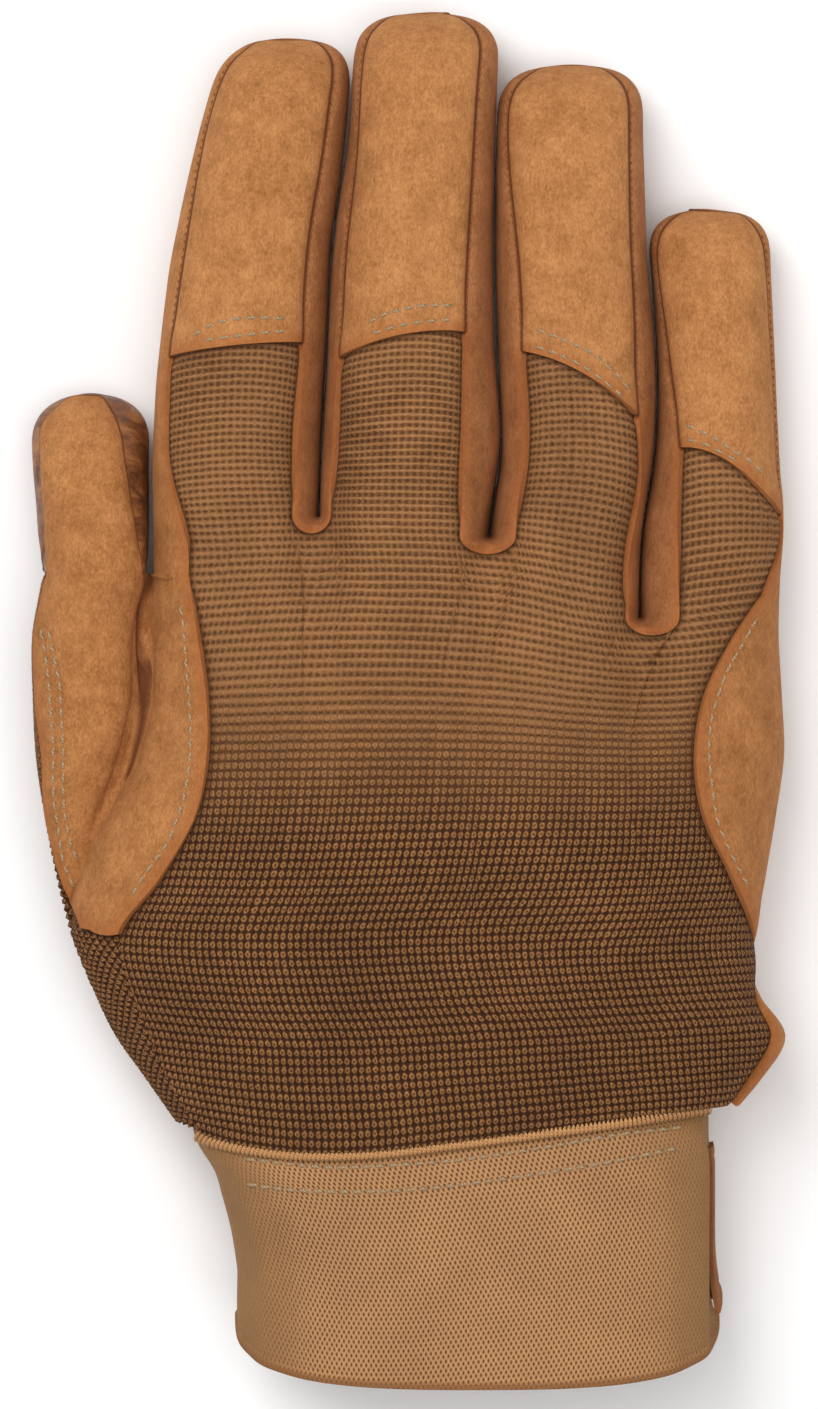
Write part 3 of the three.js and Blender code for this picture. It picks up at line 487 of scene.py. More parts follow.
    middleColumn = int(np.where(start["top"] == roots["middle"]["top"][density["back"] // 2])[0][0])
    flat[top, 0] = across(top, middleColumn)
    for name in fingers:
        centre = density["back"] // 2
        flat[tops[name], 0] = across(tops[name], centre) + flat[roots[name]["top"][centre], 0]
    flat[sides["low"], 0] = flat[sides["low"][:, :1], 0] - running(points[sides["low"]][..., [0, 2]], 1)
    lines = {name: points[tops[name][density["lower"]:, [0, -1]]] for name in digits}
    turns = points[np.concatenate([web["top"] for web in webs] + tipEnds)]
    return {"points": points, "quads": quads, "labels": labels, "normals": normals, "flat": flat,
            "lines": lines, "turns": turns}


# Places in an 818 x 1409 view of the glove, 5.6 steps to a millimetre, as places on the glove
viewScale = 5.6


def fromView(pairs):
    p = np.array(pairs, float)
    return np.stack([(p[:, 0] - 409) / viewScale, (1131 - p[:, 1]) / viewScale], -1)


# A smooth line through the places, by its running length
def smoothLine(places, spacing):
    p = np.asarray(places, float)
    run = running(p)
    at = np.linspace(0, run[-1], max(int(run[-1] / spacing), 2) + 1)
    return np.stack([follow(run, p[:, k], at) for k in range(p.shape[1])], -1)


# Nearest distance from each point to a set of points, a block of rows at a time
def nearest(points, others):
    if not len(others):
        return np.full(len(points), 99.0)
    best = np.empty(len(points))
    others = others.astype(np.float32)
    square = (others ** 2).sum(1)
    for begin in range(0, len(points), 2000):
        block = points[begin:begin + 2000].astype(np.float32)
        gap = (block ** 2).sum(1)[:, None] + square - 2 * block @ others.T
        best[begin:begin + 2000] = np.sqrt(np.maximum(gap.min(1), 0))
    return best


# Sum of a few plane waves with seeded directions: soft unevenness of about one millimetre
def unevenness(points, size, seed):
    rng = np.random.default_rng(seed)
    total = np.zeros(len(points))
    for _ in range(7):
        way = rng.normal(size=3)
        way *= 2 * np.pi / (size * rng.uniform(0.8, 1.6) * np.linalg.norm(way))
        total += np.sin(points @ way + rng.uniform(0, 2 * np.pi))
    return total / 3.7


# Soft valleys along drawn lines: depth x exp(-(distance / width)^2), fading out at both ends
def foldRelief(points, folds):
    total = np.zeros(len(points))
    for fold in folds:
        line = smoothLine(fromView(fold["line"]), 1.0)
        fade = np.sin(np.pi * np.linspace(0.04, 0.96, len(line))) ** 0.6
        gap = ((points[:, None, :2] - line[None]) ** 2).sum(2)
        total -= fold["depth"] * (np.exp(-gap / fold["width"] ** 2) * fade).max(1)
    return total


print("glove: skins")
fineSkin = makeSkin({"lower": 34, "upper": 64, "tip": 16, "back": 30, "thumb": 26, "wall": 12, "crotch": 14,
                     "saddle": 18, "grip": 40, "heel": 44, "wrist": 40})
plainSkin = makeSkin({"lower": 30, "upper": 46, "tip": 12, "back": 18, "thumb": 16, "wall": 8, "crotch": 10,
                      "saddle": 14, "grip": 30, "heel": 34, "wrist": 34})
knitSkin = makeSkin({"lower": 110, "upper": 4, "tip": 3, "back": 14, "thumb": 20, "wall": 11, "crotch": 8,
                     "saddle": 14, "grip": 100, "heel": 112, "wrist": 132})

skinLow, skinHigh = plainSkin["points"].min(0), plainSkin["points"].max(0)
place = np.array([
    500 * (cadBox[0][0] + cadBox[1][0]) - (skinLow[0] + skinHigh[0]) / 2,
    1000 * cadBox[1][1] - skinHigh[1], 0])


# sRGB hex to linear colour
def colour(code):
    parts = [int(code[i:i + 2], 16) / 255 for i in (0, 2, 4)]
    return [c / 12.92 if c < 0.04045 else ((c + 0.055) / 1.055) ** 2.4 for c in parts] + [1.0]


# Adds a node and gives back one of its outputs. Inputs are values or the sockets that feed them, by
# name or in order; stops are a colour ramp's places with hex colours or heights; settings are its own.
def node(tree, kind, inputs, out=0, stops=(), **settings):
    made = tree.nodes.new("ShaderNode" + kind)
    for key, value in settings.items():
        setattr(made, key, value)
    for key, value in inputs.items() if isinstance(inputs, dict) else enumerate(inputs):
        if isinstance(value, bpy.types.NodeSocket):
            tree.links.new(value, made.inputs[key])
        else:
            made.inputs[key].default_value = value
    if stops:
        elements = made.color_ramp.elements
        while len(elements) < len(stops):
            elements.new(0.5)
        for element, (at, value) in zip(elements, stops):
            element.position = at
            element.color = colour(value) if isinstance(value, str) else (value, value, value, 1)
    return made.outputs[out]


# A material whose shader has these settings
def newMaterial(name, settings):
    material = bpy.data.materials.new(name)
    material.use_nodes = True
    for key, value in settings.items():
        material.node_tree.nodes["Principled BSDF"].inputs[key].default_value = value
    return material, material.node_tree


# Gives a material its colour and its bumped normal
def dress(material, base, normal):
    inputs = material.node_tree.nodes["Principled BSDF"].inputs
    material.node_tree.links.new(base, inputs["Base Color"])
    material.node_tree.links.new(normal, inputs["Normal"])
    return material


# A colour mixed in beside an edge: most of it up to the first distance in mm, none past the second
def edgeTint(tree, base, distance, reach, most, code, blend="SMOOTHSTEP"):
    away = node(tree, "Attribute", {}, "Fac", attribute_name=distance)
    near = node(tree, "MapRange", [away, *reach, most, 0.0], interpolation_type=blend)
    return node(tree, "Mix", {"Factor": near, "A": base, "B": colour(code)}, 2, data_type="RGBA")


# Distance from the middle of each whole square of the map, stretched across and up
def cellReach(tree, cells, stretch):
    inCell = node(tree, "VectorMath", [cells], operation="FRACTION")
    centred = node(tree, "VectorMath", [inCell, (0.5, 0.5, 0.5)], operation="SUBTRACT")
    shaped = node(tree, "VectorMath", [centred, stretch], operation="MULTIPLY")
    return node(tree, "VectorMath", [shaped], "Value", operation="LENGTH")


# Places moved about by a noise over the map: its scale in squares, its amounts across and up
def stirred(tree, cells, places, scale, detail, amounts):
    noise = node(tree, "TexNoise", {"Vector": cells, "Scale": scale, "Detail": detail}, "Color")
    centred = node(tree, "VectorMath", [noise, (0.5, 0.5, 0.5)], operation="SUBTRACT")
    return node(tree, "VectorMath", [centred, amounts, places], operation="MULTIPLY_ADD")


# Yarn made lighter and darker by soft zones and by its fuzz
def yarnShade(tree, base, zones, fuzz, share, low, high):
    both = node(tree, "Mix", {"Factor": share, "A": zones, "B": fuzz}, data_type="FLOAT")
    level = node(tree, "MapRange", [both, 0.3, 0.7, low, high])
    return node(tree, "VectorMath", {0: base, "Scale": level}, operation="SCALE")


# Noise scales below are counts to a metre: 1000 over the size in mm.
# Suede: split cowhide, buffed to a short nap. Mottled patches 6 mm wide where the nap lies over,
# streaks of 1.1 mm and grain of 0.4 mm, no gloss, and a warm glow from the fibres at the form's edges.
def suedeMaterial(name, look):
    material, tree = newMaterial(name, {
        "Roughness": 0.94, "Specular IOR Level": 0.25, "Sheen Weight": look["sheen"],
        "Sheen Roughness": 0.45, "Sheen Tint": colour(look["light"])})
    spot = node(tree, "TexCoord", {}, "Object")
    lying = node(tree, "Mapping", {"Vector": spot, "Scale": (1, 0.55, 1)})
    patches = node(tree, "TexNoise", {"Vector": spot, "Scale": 170, "Detail": 5, "Roughness": 0.66})
    streaks = node(tree, "TexNoise", {"Vector": lying, "Scale": 900, "Detail": 4, "Roughness": 0.7})
    nap = node(tree, "TexNoise", {"Vector": lying, "Scale": 2600, "Detail": 3, "Roughness": 0.7})
    fine = node(tree, "Mix", {"Factor": 0.6, "A": streaks, "B": nap}, data_type="FLOAT")
    mottle = node(tree, "Mix", {"Factor": 0.66, "A": patches, "B": fine}, data_type="FLOAT")
    plain = node(tree, "ValToRGB", [mottle], stops=[
        (0.36, look["dark"]), (0.5, look["base"]), (0.62, look["light"])])
    tone = node(tree, "Attribute", {}, "Fac", attribute_name="tone")
    scaled = node(tree, "VectorMath", {0: plain, "Scale": tone}, operation="SCALE")
    warmth = node(tree, "Math", [tone, -0.7, 1.7], operation="MULTIPLY_ADD")
    body = node(tree, "Gamma", {"Color": scaled, "Gamma": warmth})
    edged = edgeTint(tree, body, "hemMm", (0.2, 3.4), 0.55, look["edge"])
    # Painted shade: the deep colour is laid within 0.75 mm of the seam ditches and of the thumb's open
    # crease, standing in for the shade in them
    final = edgeTint(tree, edged, "seamMm", (0.1, 0.75), 0.85, look["deep"])
    return dress(material, final, node(tree, "Bump", {"Height": fine, "Strength": 0.6, "Distance": 0.0005}))


suedeLook = {"base": "b07645", "light": "c88c56", "dark": "8f5b2c", "edge": "a05a2a", "deep": "562811",
             "sheen": 0.25}
suede = suedeMaterial("suede split, buffed, orange-brown", suedeLook)
# Painted shade: the fourchettes between the fingers get the same suede with darker colours
shadedSideSuede = suedeMaterial("suede split, thin, for the fourchettes", {
    **suedeLook, "base": "a1683e", "light": "b47a4c", "dark": "7e4c29"})
tabSuede = suedeMaterial("suede split, folded, for the closing tab", {
    **suedeLook, "base": "95613a", "light": "aa7244", "dark": "774b2a", "edge": "7f4e2a", "sheen": 0.15})


# Grip leather: full-grain cowhide with pebbles of 1.6 mm, pressed creases 4 mm apart and a worn
# half gloss
def gripMaterial(look):
    material, tree = newMaterial("grain leather, pressed, worn half gloss", {
        "Roughness": 0.46, "Specular IOR Level": 0.5, "Sheen Weight": 0.08,
        "Sheen Tint": colour(look["light"])})
    spot = node(tree, "TexCoord", {}, "Object")
    drawn = node(tree, "Mapping", {"Vector": spot, "Rotation": (0, 0, 0.35), "Scale": (0.6, 1.5, 1)})
    pebbles = node(tree, "TexVoronoi", {"Vector": drawn, "Scale": 620, "Smoothness": 0.6},
                   feature="SMOOTH_F1")
    creases = node(tree, "TexNoise", {
        "Vector": drawn, "Scale": 240, "Detail": 5, "Roughness": 0.6, "Distortion": 0.8})
    both = node(tree, "Mix", {"Factor": 0.5, "A": pebbles, "B": creases}, data_type="FLOAT")
    body = node(tree, "ValToRGB", [creases], stops=[
        (0.32, look["dark"]), (0.5, look["base"]), (0.66, look["light"])])
    low = node(tree, "Bump", {"Height": creases, "Strength": 0.7, "Distance": 0.0008})
    grain = node(tree, "Bump", {"Height": both, "Strength": 0.5, "Distance": 0.0004, "Normal": low})
    return dress(material, body, grain)


grip = gripMaterial({"base": "7f4d2b", "light": "a06b3c", "dark": "56321b"})


# Rib knit: double-bed acrylic yarn. The map counts wales across and ribs up, so each whole square
# is one loop. Where the cloth is tight, a loop is a light ring of yarn with a dark heart, and dark
# grooves run between the loops. Where it is slack, the ribs are smooth, with dark dots in the grooves.
def knitMaterial(look):
    material, tree = newMaterial("rib knit, brown acrylic yarn", {
        "Roughness": 0.9, "Specular IOR Level": 0.2, "Sheen Weight": 0.15, "Sheen Roughness": 0.5,
        "Sheen Tint": colour(look["light"])})
    cells = node(tree, "UVMap", {}, uv_map="cloth")
    spot = node(tree, "TexCoord", {}, "Object")
    moved = stirred(tree, cells, cells, 0.35, 2, (0.14, 0.14, 0))
    moved = stirred(tree, cells, moved, 2.3, 1, (0.34, 0.26, 0))
    ring = cellReach(tree, moved, (1.95, 1.75, 0))
    lowered = node(tree, "VectorMath", [moved, (0, 0.5, 0)], operation="ADD")
    dot = cellReach(tree, lowered, (1.35, 2.4, 0))
    tight = node(tree, "ValToRGB", [ring], stops=[
        (0.0, look["heart"]), (0.2, look["heart"]), (0.48, look["light"]), (0.68, look["base"]),
        (0.92, look["groove"])])
    slack = node(tree, "ValToRGB", [dot], stops=[
        (0.0, look["slackDark"]), (0.2, look["slackDark"]), (0.45, look["slackBase"]),
        (0.95, look["slackLight"])])
    loose = node(tree, "Attribute", {}, "Fac", attribute_name="loose")
    yarn = node(tree, "Mix", {"Factor": loose, "A": tight, "B": slack}, 2, data_type="RGBA")
    fuzz = node(tree, "TexNoise", {"Vector": spot, "Scale": 2600, "Detail": 2, "Roughness": 0.6})
    zones = node(tree, "TexNoise", {"Vector": spot, "Scale": 48, "Detail": 4, "Roughness": 0.6})
    shaded = yarnShade(tree, yarn, zones, fuzz, 0.6, 0.62, 1.36)
    # Painted shade: the groove colour is laid within 1.6 mm of the knit's seam ditches
    final = edgeTint(tree, shaded, "seamMm", (0.0, 1.6), 0.7, look["groove"])
    tightRise = node(tree, "ValToRGB", [ring], stops=[
        (0.0, 0.62), (0.2, 0.7), (0.45, 1.0), (0.7, 0.62), (0.95, 0.0)])
    slackRise = node(tree, "ValToRGB", [dot], stops=[(0.0, 0.0), (0.3, 0.35), (0.8, 0.9), (1.0, 1.0)])
    rise = node(tree, "Mix", {"Factor": loose, "A": tightRise, "B": slackRise}, 2, data_type="RGBA")
    loops = node(tree, "Bump", {"Height": rise, "Strength": 0.85, "Distance": look["relief"]})
    hairs = node(tree, "Bump", {"Height": fuzz, "Strength": 0.3, "Distance": 0.0002, "Normal": loops})
    return dress(material, final, hairs)


ribKnit = knitMaterial({
    "light": "a47548", "base": "794e2e", "heart": "5a361b", "groove": "341b0b", "relief": 0.0005,
    "slackDark": "5f3f25", "slackBase": "7a512e", "slackLight": "986a43"})


# Cuff elastic: woven tubular band in tan yarn, a lattice of slanted cords with a small dark hole
# between each four. The map counts holes across and down, every other row shifted by half.
def elasticMaterial(look):
    material, tree = newMaterial("woven elastic, tan yarn", {
        "Roughness": 0.88, "Specular IOR Level": 0.25, "Sheen Weight": 0.2, "Sheen Roughness": 0.5,
        "Sheen Tint": colour(look["light"])})
    cells = node(tree, "UVMap", {}, uv_map="cloth")
    across = node(tree, "SeparateXYZ", [cells], 0)
    down = node(tree, "SeparateXYZ", [cells], 1)
    total = node(tree, "Math", [across, down], operation="ADD")
    less = node(tree, "Math", [across, down], operation="SUBTRACT")
    reach = cellReach(tree, node(tree, "CombineXYZ", [total, less]), (1.7, 1.7, 0))
    spot = node(tree, "TexCoord", {}, "Object")
    zones = node(tree, "TexNoise", {"Vector": spot, "Scale": 60, "Detail": 4, "Roughness": 0.6})
    fuzz = node(tree, "TexNoise", {"Vector": spot, "Scale": 2400, "Detail": 2})
    yarn = node(tree, "ValToRGB", [reach], stops=[
        (0.0, look["hole"]), (0.26, look["hole"]), (0.5, look["base"]), (0.85, look["light"])])
    # Painted shade: the cuff's sides, where the tube turns away from the lamps, are mixed towards a darker
    # yarn colour; the mix below is this shade, not wear
    paintedSideShade = node(tree, "Attribute", {}, "Fac", attribute_name="paintedSideShade")
    worn = node(tree, "Mix", {"Factor": paintedSideShade, "A": yarn, "B": colour(look["paintedSideShade"])}, 2, data_type="RGBA")
    shaded = yarnShade(tree, worn, zones, fuzz, 0.4, 0.82, 1.15)
    final = edgeTint(tree, shaded, "hemMm", (0.8, 1.6), 0.85, look["hem"], "LINEAR")
    rise = node(tree, "ValToRGB", [reach], stops=[(0.0, 0.0), (0.3, 0.25), (0.55, 0.9), (0.85, 1.0)])
    return dress(material, final, node(tree, "Bump", {"Height": rise, "Strength": 0.7, "Distance": 0.0003}))


elastic = elasticMaterial({
    "light": "b4865b", "base": "9e7148", "hole": "633d20", "paintedSideShade": "8f6841", "hem": "845834"})


# Thread: three-ply waxed polyester, a twist of fine diagonal plies across each stitch
def threadMaterial(name, light, dark):
    material, tree = newMaterial(name, {
        "Roughness": 0.7, "Specular IOR Level": 0.35, "Sheen Weight": 0.1, "Sheen Tint": colour(light)})
    spot = node(tree, "TexCoord", {}, "Object")
    plies = node(tree, "TexWave", {"Vector": spot, "Scale": 900, "Distortion": 1.5, "Detail": 1}, "Fac",
                 bands_direction="DIAGONAL")
    twist = node(tree, "ValToRGB", [plies], stops=[(0.1, dark), (0.7, light)])
    return dress(material, twist, node(tree, "Bump", {"Height": plies, "Strength": 0.4, "Distance": 0.0001}))


paleThread = threadMaterial("polyester thread, beige-grey", "af9472", "866d4c")
brownThread = threadMaterial("polyester thread, rust brown", "955629", "693818")
tanCord = threadMaterial("elastic's overlocked edge, tan yarn", "c69561", "a06e41")


# Makes a mesh piece from points in millimetres and four-cornered faces
def makePiece(name, points, quads, material, nodes, uv=None, measures=None):
    mesh = bpy.data.meshes.new(name)
    mesh.from_pydata(((points + place) / 1000).tolist(), [], quads.tolist())
    if uv is not None:
        corners = uv[quads.ravel()] if len(uv) == len(points) else uv
        mesh.uv_layers.new(name="cloth").data.foreach_set("uv", corners.astype(np.float32).ravel())
    for key, values in (measures or {}).items():
        mesh.attributes.new(key, "FLOAT", "POINT").data.foreach_set("value", values.astype(np.float32))
    mesh.set_sharp_from_angle(angle=math.radians(58))
    mesh.materials.append(material)
    piece = bpy.data.objects.new(name, mesh)
    bpy.context.scene.collection.objects.link(piece)
    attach(piece, "root")
    if nodes:
        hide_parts(*nodes)


# Where faces have no neighbour of their own: the two ends of each such edge, and its neighbour's label
def openEdges(quads, allQuads, allLabels, total):
    start, end = quads.ravel(), np.roll(quads, -1, axis=1).ravel()
    alone = ~np.isin(end * total + start, start * total + end)
    start, end = start[alone], end[alone]
    keys = allQuads.ravel() * total + np.roll(allQuads, -1, axis=1).ravel()
    order = np.argsort(keys)
    found = np.clip(np.searchsorted(keys[order], end * total + start), 0, len(keys) - 1)
    hit = keys[order][found] == end * total + start
    return start, end, np.where(hit, np.repeat(allLabels, 4)[order][found], -1)


# A closed wall: the outer skin drawn back from its edges by half the gap and moved out by the
# relief, the plain skin moved inwards by the wall's thickness, and a rim between the two
def closedWall(points, quads, normals, edges, wall, relief, gap):
    start, end = edges
    along = points[end] - points[start]
    pull, ways = np.zeros_like(points), np.zeros(len(points))
    for corner in (start, end):
        inward = np.cross(normals[corner], along)
        inward *= (gap / 2 / np.maximum(np.linalg.norm(inward, axis=1), 1e-9))[:, None]
        np.add.at(pull, corner, inward)
        np.add.at(ways, corner, 1)
    outer = points + pull / np.maximum(ways, 1)[:, None]
    inner = outer - normals * np.reshape(wall, (-1, 1))
    outer = outer + normals * relief[:, None]
    outer[:, 2], inner[:, 2] = np.maximum(outer[:, 2], 0), np.maximum(inner[:, 2], 0)
    count = len(points)
    rim = np.stack([end, start, start + count, end + count], -1)
    return np.concatenate([outer, inner]), np.concatenate([quads, quads[:, ::-1] + count, rim]), outer


# The knit: mm between ribs on the hand and on the fingers and between wales, and the ribs' relief.
# On the gusset they run aslant.
knitCloth = {"handRib": 1.55, "fingerRib": 1.3, "wale": 1.26, "relief": 0.24,
             "slantRib": 1.5, "slantRelief": 0.3}
ribHeights = np.linspace(-20, 220, 481)
ribSpacing = mix(knitCloth["handRib"], knitCloth["fingerRib"], smooth((ribHeights - 88) / 30))
ribCounts = np.concatenate([[0], np.cumsum(0.5 / ribSpacing[:-1])])


# Ribs counted up the cloth, bowed with the wrist's edge near the wrist and with the finger roots
# near those, and arched over each finger
def ribCount(x, y):
    across = wristAcross(x, np.clip(y, 0, 60))
    bow = (wristY(np.clip(across, 0, 1)) + 2) * np.exp(-np.maximum(y - wristY(0.3), 0) / 38)
    rootLine = follow([-46, -17, 13, 40, 66], [2, 6, 3, -10, -4], x)
    bow = bow + 0.35 * rootLine * np.exp(-((y - 92) / 24) ** 2)
    for number in range(4):
        low, high = lineX(number, y), lineX(number + 1, y)
        side = (x - (low + high) / 2) / ((high - low) / 2)
        arch = np.where(np.abs(side) < 1, 2.4 * side ** 2, 0)
        bow = bow - arch * smooth((y - rootY(fingers[number], side) - 2) / 22)
    return np.interp(y - bow, ribHeights, ribCounts)


# 0 at the crotches and fingertips' ends, where the cloth turns over sharply and keeps its plain
# shape, 1 away from them
def calmness(points, skin):
    return smooth((nearest(points, skin["turns"]) - 1) / 5)


# Creases and slack folds, drawn as lines in the view, in mm deep and wide
knitFolds = [
    {"line": [(560, 404), (585, 398), (612, 404)], "depth": 0.8, "width": 1.6},
    {"line": [(556, 424), (583, 420), (606, 428)], "depth": 0.5, "width": 1.4},
    {"line": [(540, 604), (570, 612), (604, 616)], "depth": 0.7, "width": 2.2},
    {"line": [(560, 800), (610, 822), (664, 842)], "depth": 0.5, "width": 2.6},
    {"line": [(348, 560), (372, 585), (412, 600)], "depth": 0.6, "width": 2.4},
    {"line": [(250, 590), (296, 578), (340, 590)], "depth": 0.5, "width": 3.0}]
suedeFolds = [
    {"line": [(148, 608), (143, 628), (142, 646), (143, 684), (144, 701), (139, 723), (135, 740),
              (131, 757), (127, 777), (124, 793), (115, 810), (107, 817), (94, 829)],
     "depth": 1.5, "width": 1.7},
    {"line": [(103, 844), (98, 862), (96, 880)], "depth": 0.7, "width": 1.3},
    {"line": [(120, 824), (118, 853), (122, 887), (122, 911)], "depth": 0.8, "width": 1.2},
    {"line": [(62, 560), (90, 575), (122, 566)], "depth": 0.5, "width": 2.6}]

# How panels meet, by their numbers in panelNames: a ditch is a groove in the first ones beside the
# second ones, by depth and width; a lift is how high a panel's edge lies on its neighbour, and how
# far in that fades
sideWalls, tipBacks = (5, 6, 7), (8, 9, 10, 11)
ditches = {(panel, other): size for panels, others, size in (
    ((0,), (2,), (0.55, 1.7)), ((0,), sideWalls, (0.8, 2.2)), ((0,), tipBacks, (0.5, 1.6)),
    ((1,), (2, 3, 4), (0.5, 1.6)), ((2, 3), (2, 3), (0.9, 1.5)), ((3, 4), (3, 4), (0.7, 1.7)),
    ((2,), (4,), (0.4, 1.2)), ((4,), (1,), (0.3, 1.4)), ((4,), (2,), (0.5, 1.6)),
    ((2,), sideWalls, (0.4, 1.0)), (sideWalls, (2,), (0.4, 1.0)), (sideWalls, tipBacks, (0.5, 1.0)),
    (tipBacks, sideWalls, (0.5, 1.0)), ((2,), tipBacks, (0.5, 1.0)), ((8, 11), (2,), (0.5, 1.0)))
    for panel in panels for other in others}
lifts = {(2, 0): (0.4, 7), (2, 1): (0.3, 4), (3, 1): (0.4, 5), **{(panel, 0): (0.4, 7) for panel in tipBacks},
         **{(panel, 0): (0.25, 4) for panel in sideWalls}}
# The thumb's crease closes below a height; the heel swells the knit and sinks the palm beside the
# cuff; the knit is slack above a height; seams are 0.08 mm wide
meeting = {"seam": 0.08, "creaseClosed": 57, "creaseOpens": 50, "creaseOver": 14,
           "heelY": 29, "heelSpread": 5, "heelFrom": 45, "heelOut": 0.6, "heelIn": 1.5,
           "slackFrom": 48, "slackOver": 40}


# One panel of a skin as a closed wall, with its distances to its seams and to its raised edges
def panelPiece(label, skin, wall, material):
    own = skin["labels"] == label
    used, quads = np.unique(skin["quads"][own], return_inverse=True)
    quads = quads.reshape(-1, 4)
    points, normals, flat = (skin[key][used] for key in ("points", "normals", "flat"))
    start, end, beside = openEdges(skin["quads"][own], skin["quads"], skin["labels"], len(skin["points"]))
    relief = np.zeros(len(points))
    seamMm, hemMm = np.full(len(points), 99.0), np.full(len(points), 99.0)
    for other in np.unique(beside):
        ends = skin["points"][start[beside == other]], skin["points"][end[beside == other]]
        away = nearest(points, np.concatenate([ends[0], (ends[0] + ends[1]) / 2, ends[1]]))
        if (label, other) in ditches:
            depth, width = ditches[label, other]
            crease = smooth((points[:, 1] - meeting["creaseOpens"]) / meeting["creaseOver"])
            isOpen = crease if {label, other} == {2, 3} else 1
            relief -= depth * np.exp(-(away / width) ** 2) * isOpen
            # The seam distance feeds the painted seam shade; where the thumb's crease is closed it is pushed
            # 9 mm out, so no shade lies there
            seamMm = np.minimum(seamMm, away + 9 * (1 - isOpen))
        if (label, other) in lifts:
            height, reach = lifts[label, other]
            relief += height * (1 - smooth((away - 1.2) / reach))
            hemMm = np.minimum(hemMm, away)
    start, end = np.searchsorted(used, start), np.searchsorted(used, end)
    joined = np.isin(beside, (2, 3)) & (label in (2, 3)) & (points[start, 1] < meeting["creaseClosed"])
    gaps = np.where(joined, 0, meeting["seam"])
    calm, over = calmness(points, skin), smooth((normals[:, 2] + 0.2) / 0.4)
    tone = {1: 0.95, 2: 0.95, 3: 0.93}.get(label, 1) * np.ones(len(points))
    onPatch = points[:, 0] > meeting["heelFrom"]
    heel = np.exp(-((points[:, 1] - meeting["heelY"]) / meeting["heelSpread"]) ** 2) * onPatch
    uv = None
    if label == 0:
        ribs = ribCount(points[:, 0], points[:, 1])
        uv = np.stack([flat[:, 0] / knitCloth["wale"], ribs], -1)
        fade = smooth(seamMm / 1.2)
        relief += knitCloth["relief"] * (-np.cos(2 * np.pi * ribs)) * fade + foldRelief(points, knitFolds)
        relief += 0.35 * unevenness(points, 26, 3) + meeting["heelOut"] * heel * np.exp(-(seamMm / 5) ** 2)
    elif label == 1:
        slant = (flat[:, 1] - flat[:, 0]) / math.sqrt(2)
        ribs = slant / knitCloth["slantRib"]
        uv = np.stack([(flat[:, 1] + flat[:, 0]) / math.sqrt(2) / knitCloth["wale"], ribs], -1)
        relief += knitCloth["slantRelief"] * (-np.cos(2 * np.pi * ribs)) * smooth(seamMm / 1.0)
    else:
        relief += 0.22 * unevenness(points, 17, label) * smooth(seamMm / 3) * over
        if label == 2:
            relief -= meeting["heelIn"] * heel
        if label in (2, 3):
            relief += foldRelief(points, suedeFolds) * over
            tone = np.where(onPatch, 0.92, np.where(points[:, 1] > 108, 0.97, tone))
    thin = 0.25 + 0.75 * calm
    if label == 0:
        points = points - (0.8 * np.exp(-(nearest(points, skin["turns"]) / 1.6) ** 2))[:, None] * [0, 0, 1]
    # Painted shade: the seam distance also shrinks round the crotch between thumb and index, so the deep seam
    # colour darkens it
    if label in (2, 3):
        web = np.array([lineX(0, crotchY[0]) - fingerGap, crotchY[0]])
        seamMm = np.minimum(seamMm, np.linalg.norm((points[:, :2] - web) * [0.5, 0.15], axis=1))
    outer, faces, shown = closedWall(points, quads, normals, (start, end), wall * thin, relief * calm, gaps)
    loose = smooth((points[:, 1] - meeting["slackFrom"]) / meeting["slackOver"])
    measures = {"seamMm": seamMm, "hemMm": hemMm, "tone": tone, "loose": loose}
    name = panelNames[label]
    makePiece(name.replace("tip_back", "tip_suede"), outer, faces, material, [name],
              None if uv is None else np.tile(uv, (2, 1)),
              {key: np.tile(values, 2) for key, values in measures.items()})
    return shown, quads


shown = {}
for labels, skin, wallName, material, slotName in (
        ((0, 1), knitSkin, "knit", ribKnit, "rib_knit"), ((2,), plainSkin, "suede", suede, "suede"),
        ((3,), fineSkin, "suede", suede, "suede"), ((4,), fineSkin, "grip", grip, "grip_leather"),
        (sideWalls, fineSkin, "suede", shadedSideSuede, "side_suede"),
        (tipBacks, fineSkin, "suede", suede, "suede")):
    print("glove:", ", ".join(panelNames[label] for label in labels))
    for label in labels:
        shown[label] = panelPiece(label, skin, walls[wallName], material)

print("glove: cuff and tab")


# The cuff's outside: turn runs round it from the little-finger side over its back, share runs
# from its hidden upper edge to its hem; an ovoid whose width and height follow the tables
def cuffPoint(turn, share, out):
    wristLow, wristHigh = sideways("side", 0), sideways("edge", 0)
    lift = walls["tab"] + 1.2
    cosine, sine = np.cos(turn), np.sin(turn)
    above = sine > 0
    shape = np.where(above, domeShape, bottomShape)
    p = np.sign(cosine) * np.abs(cosine) ** (2 / shape)
    rounded = np.abs(sine) ** (2 / shape)
    across = (p + 1) / 2
    edge = np.where(above, wristY(across), mix(wristY(0), wristY(1), across))
    bow = cuffSize["bow"] * np.where(above, 1, 0.3)
    y = mix(edge + cuffSize["lap"], cuffSize["bow"] - cuffSize["length"] - bow * dome(p, 3), share)
    down = np.clip((edge - y) / (cuffSize["length"] - cuffSize["bow"] / 2), 0, 1)
    narrow = follow(cuffShape[:, 0], cuffShape[:, 1], down)
    inset = (walls["knit"] + 0.6) * follow(cuffShape[:, 0], cuffShape[:, 2], down)
    high = wristHigh - inset + out
    low = mix(wristLow, wristHigh - cuffSize["width"], narrow) + inset - out
    mid = mix(heights("mid", 0), lift + cuffSize["depth"] * 0.45, narrow)
    top = mix(heights("top", 0), lift + cuffSize["depth"], narrow) - inset + out
    under = mix(inset, lift, smooth(down * cuffSize["length"] / tabSize["top"])) - out
    z = np.where(above, mid + (top - mid) * rounded, mid - (mid - under) * rounded)
    return np.stack([(low + high) / 2 + (high - low) / 2 * p, y, z], -1)


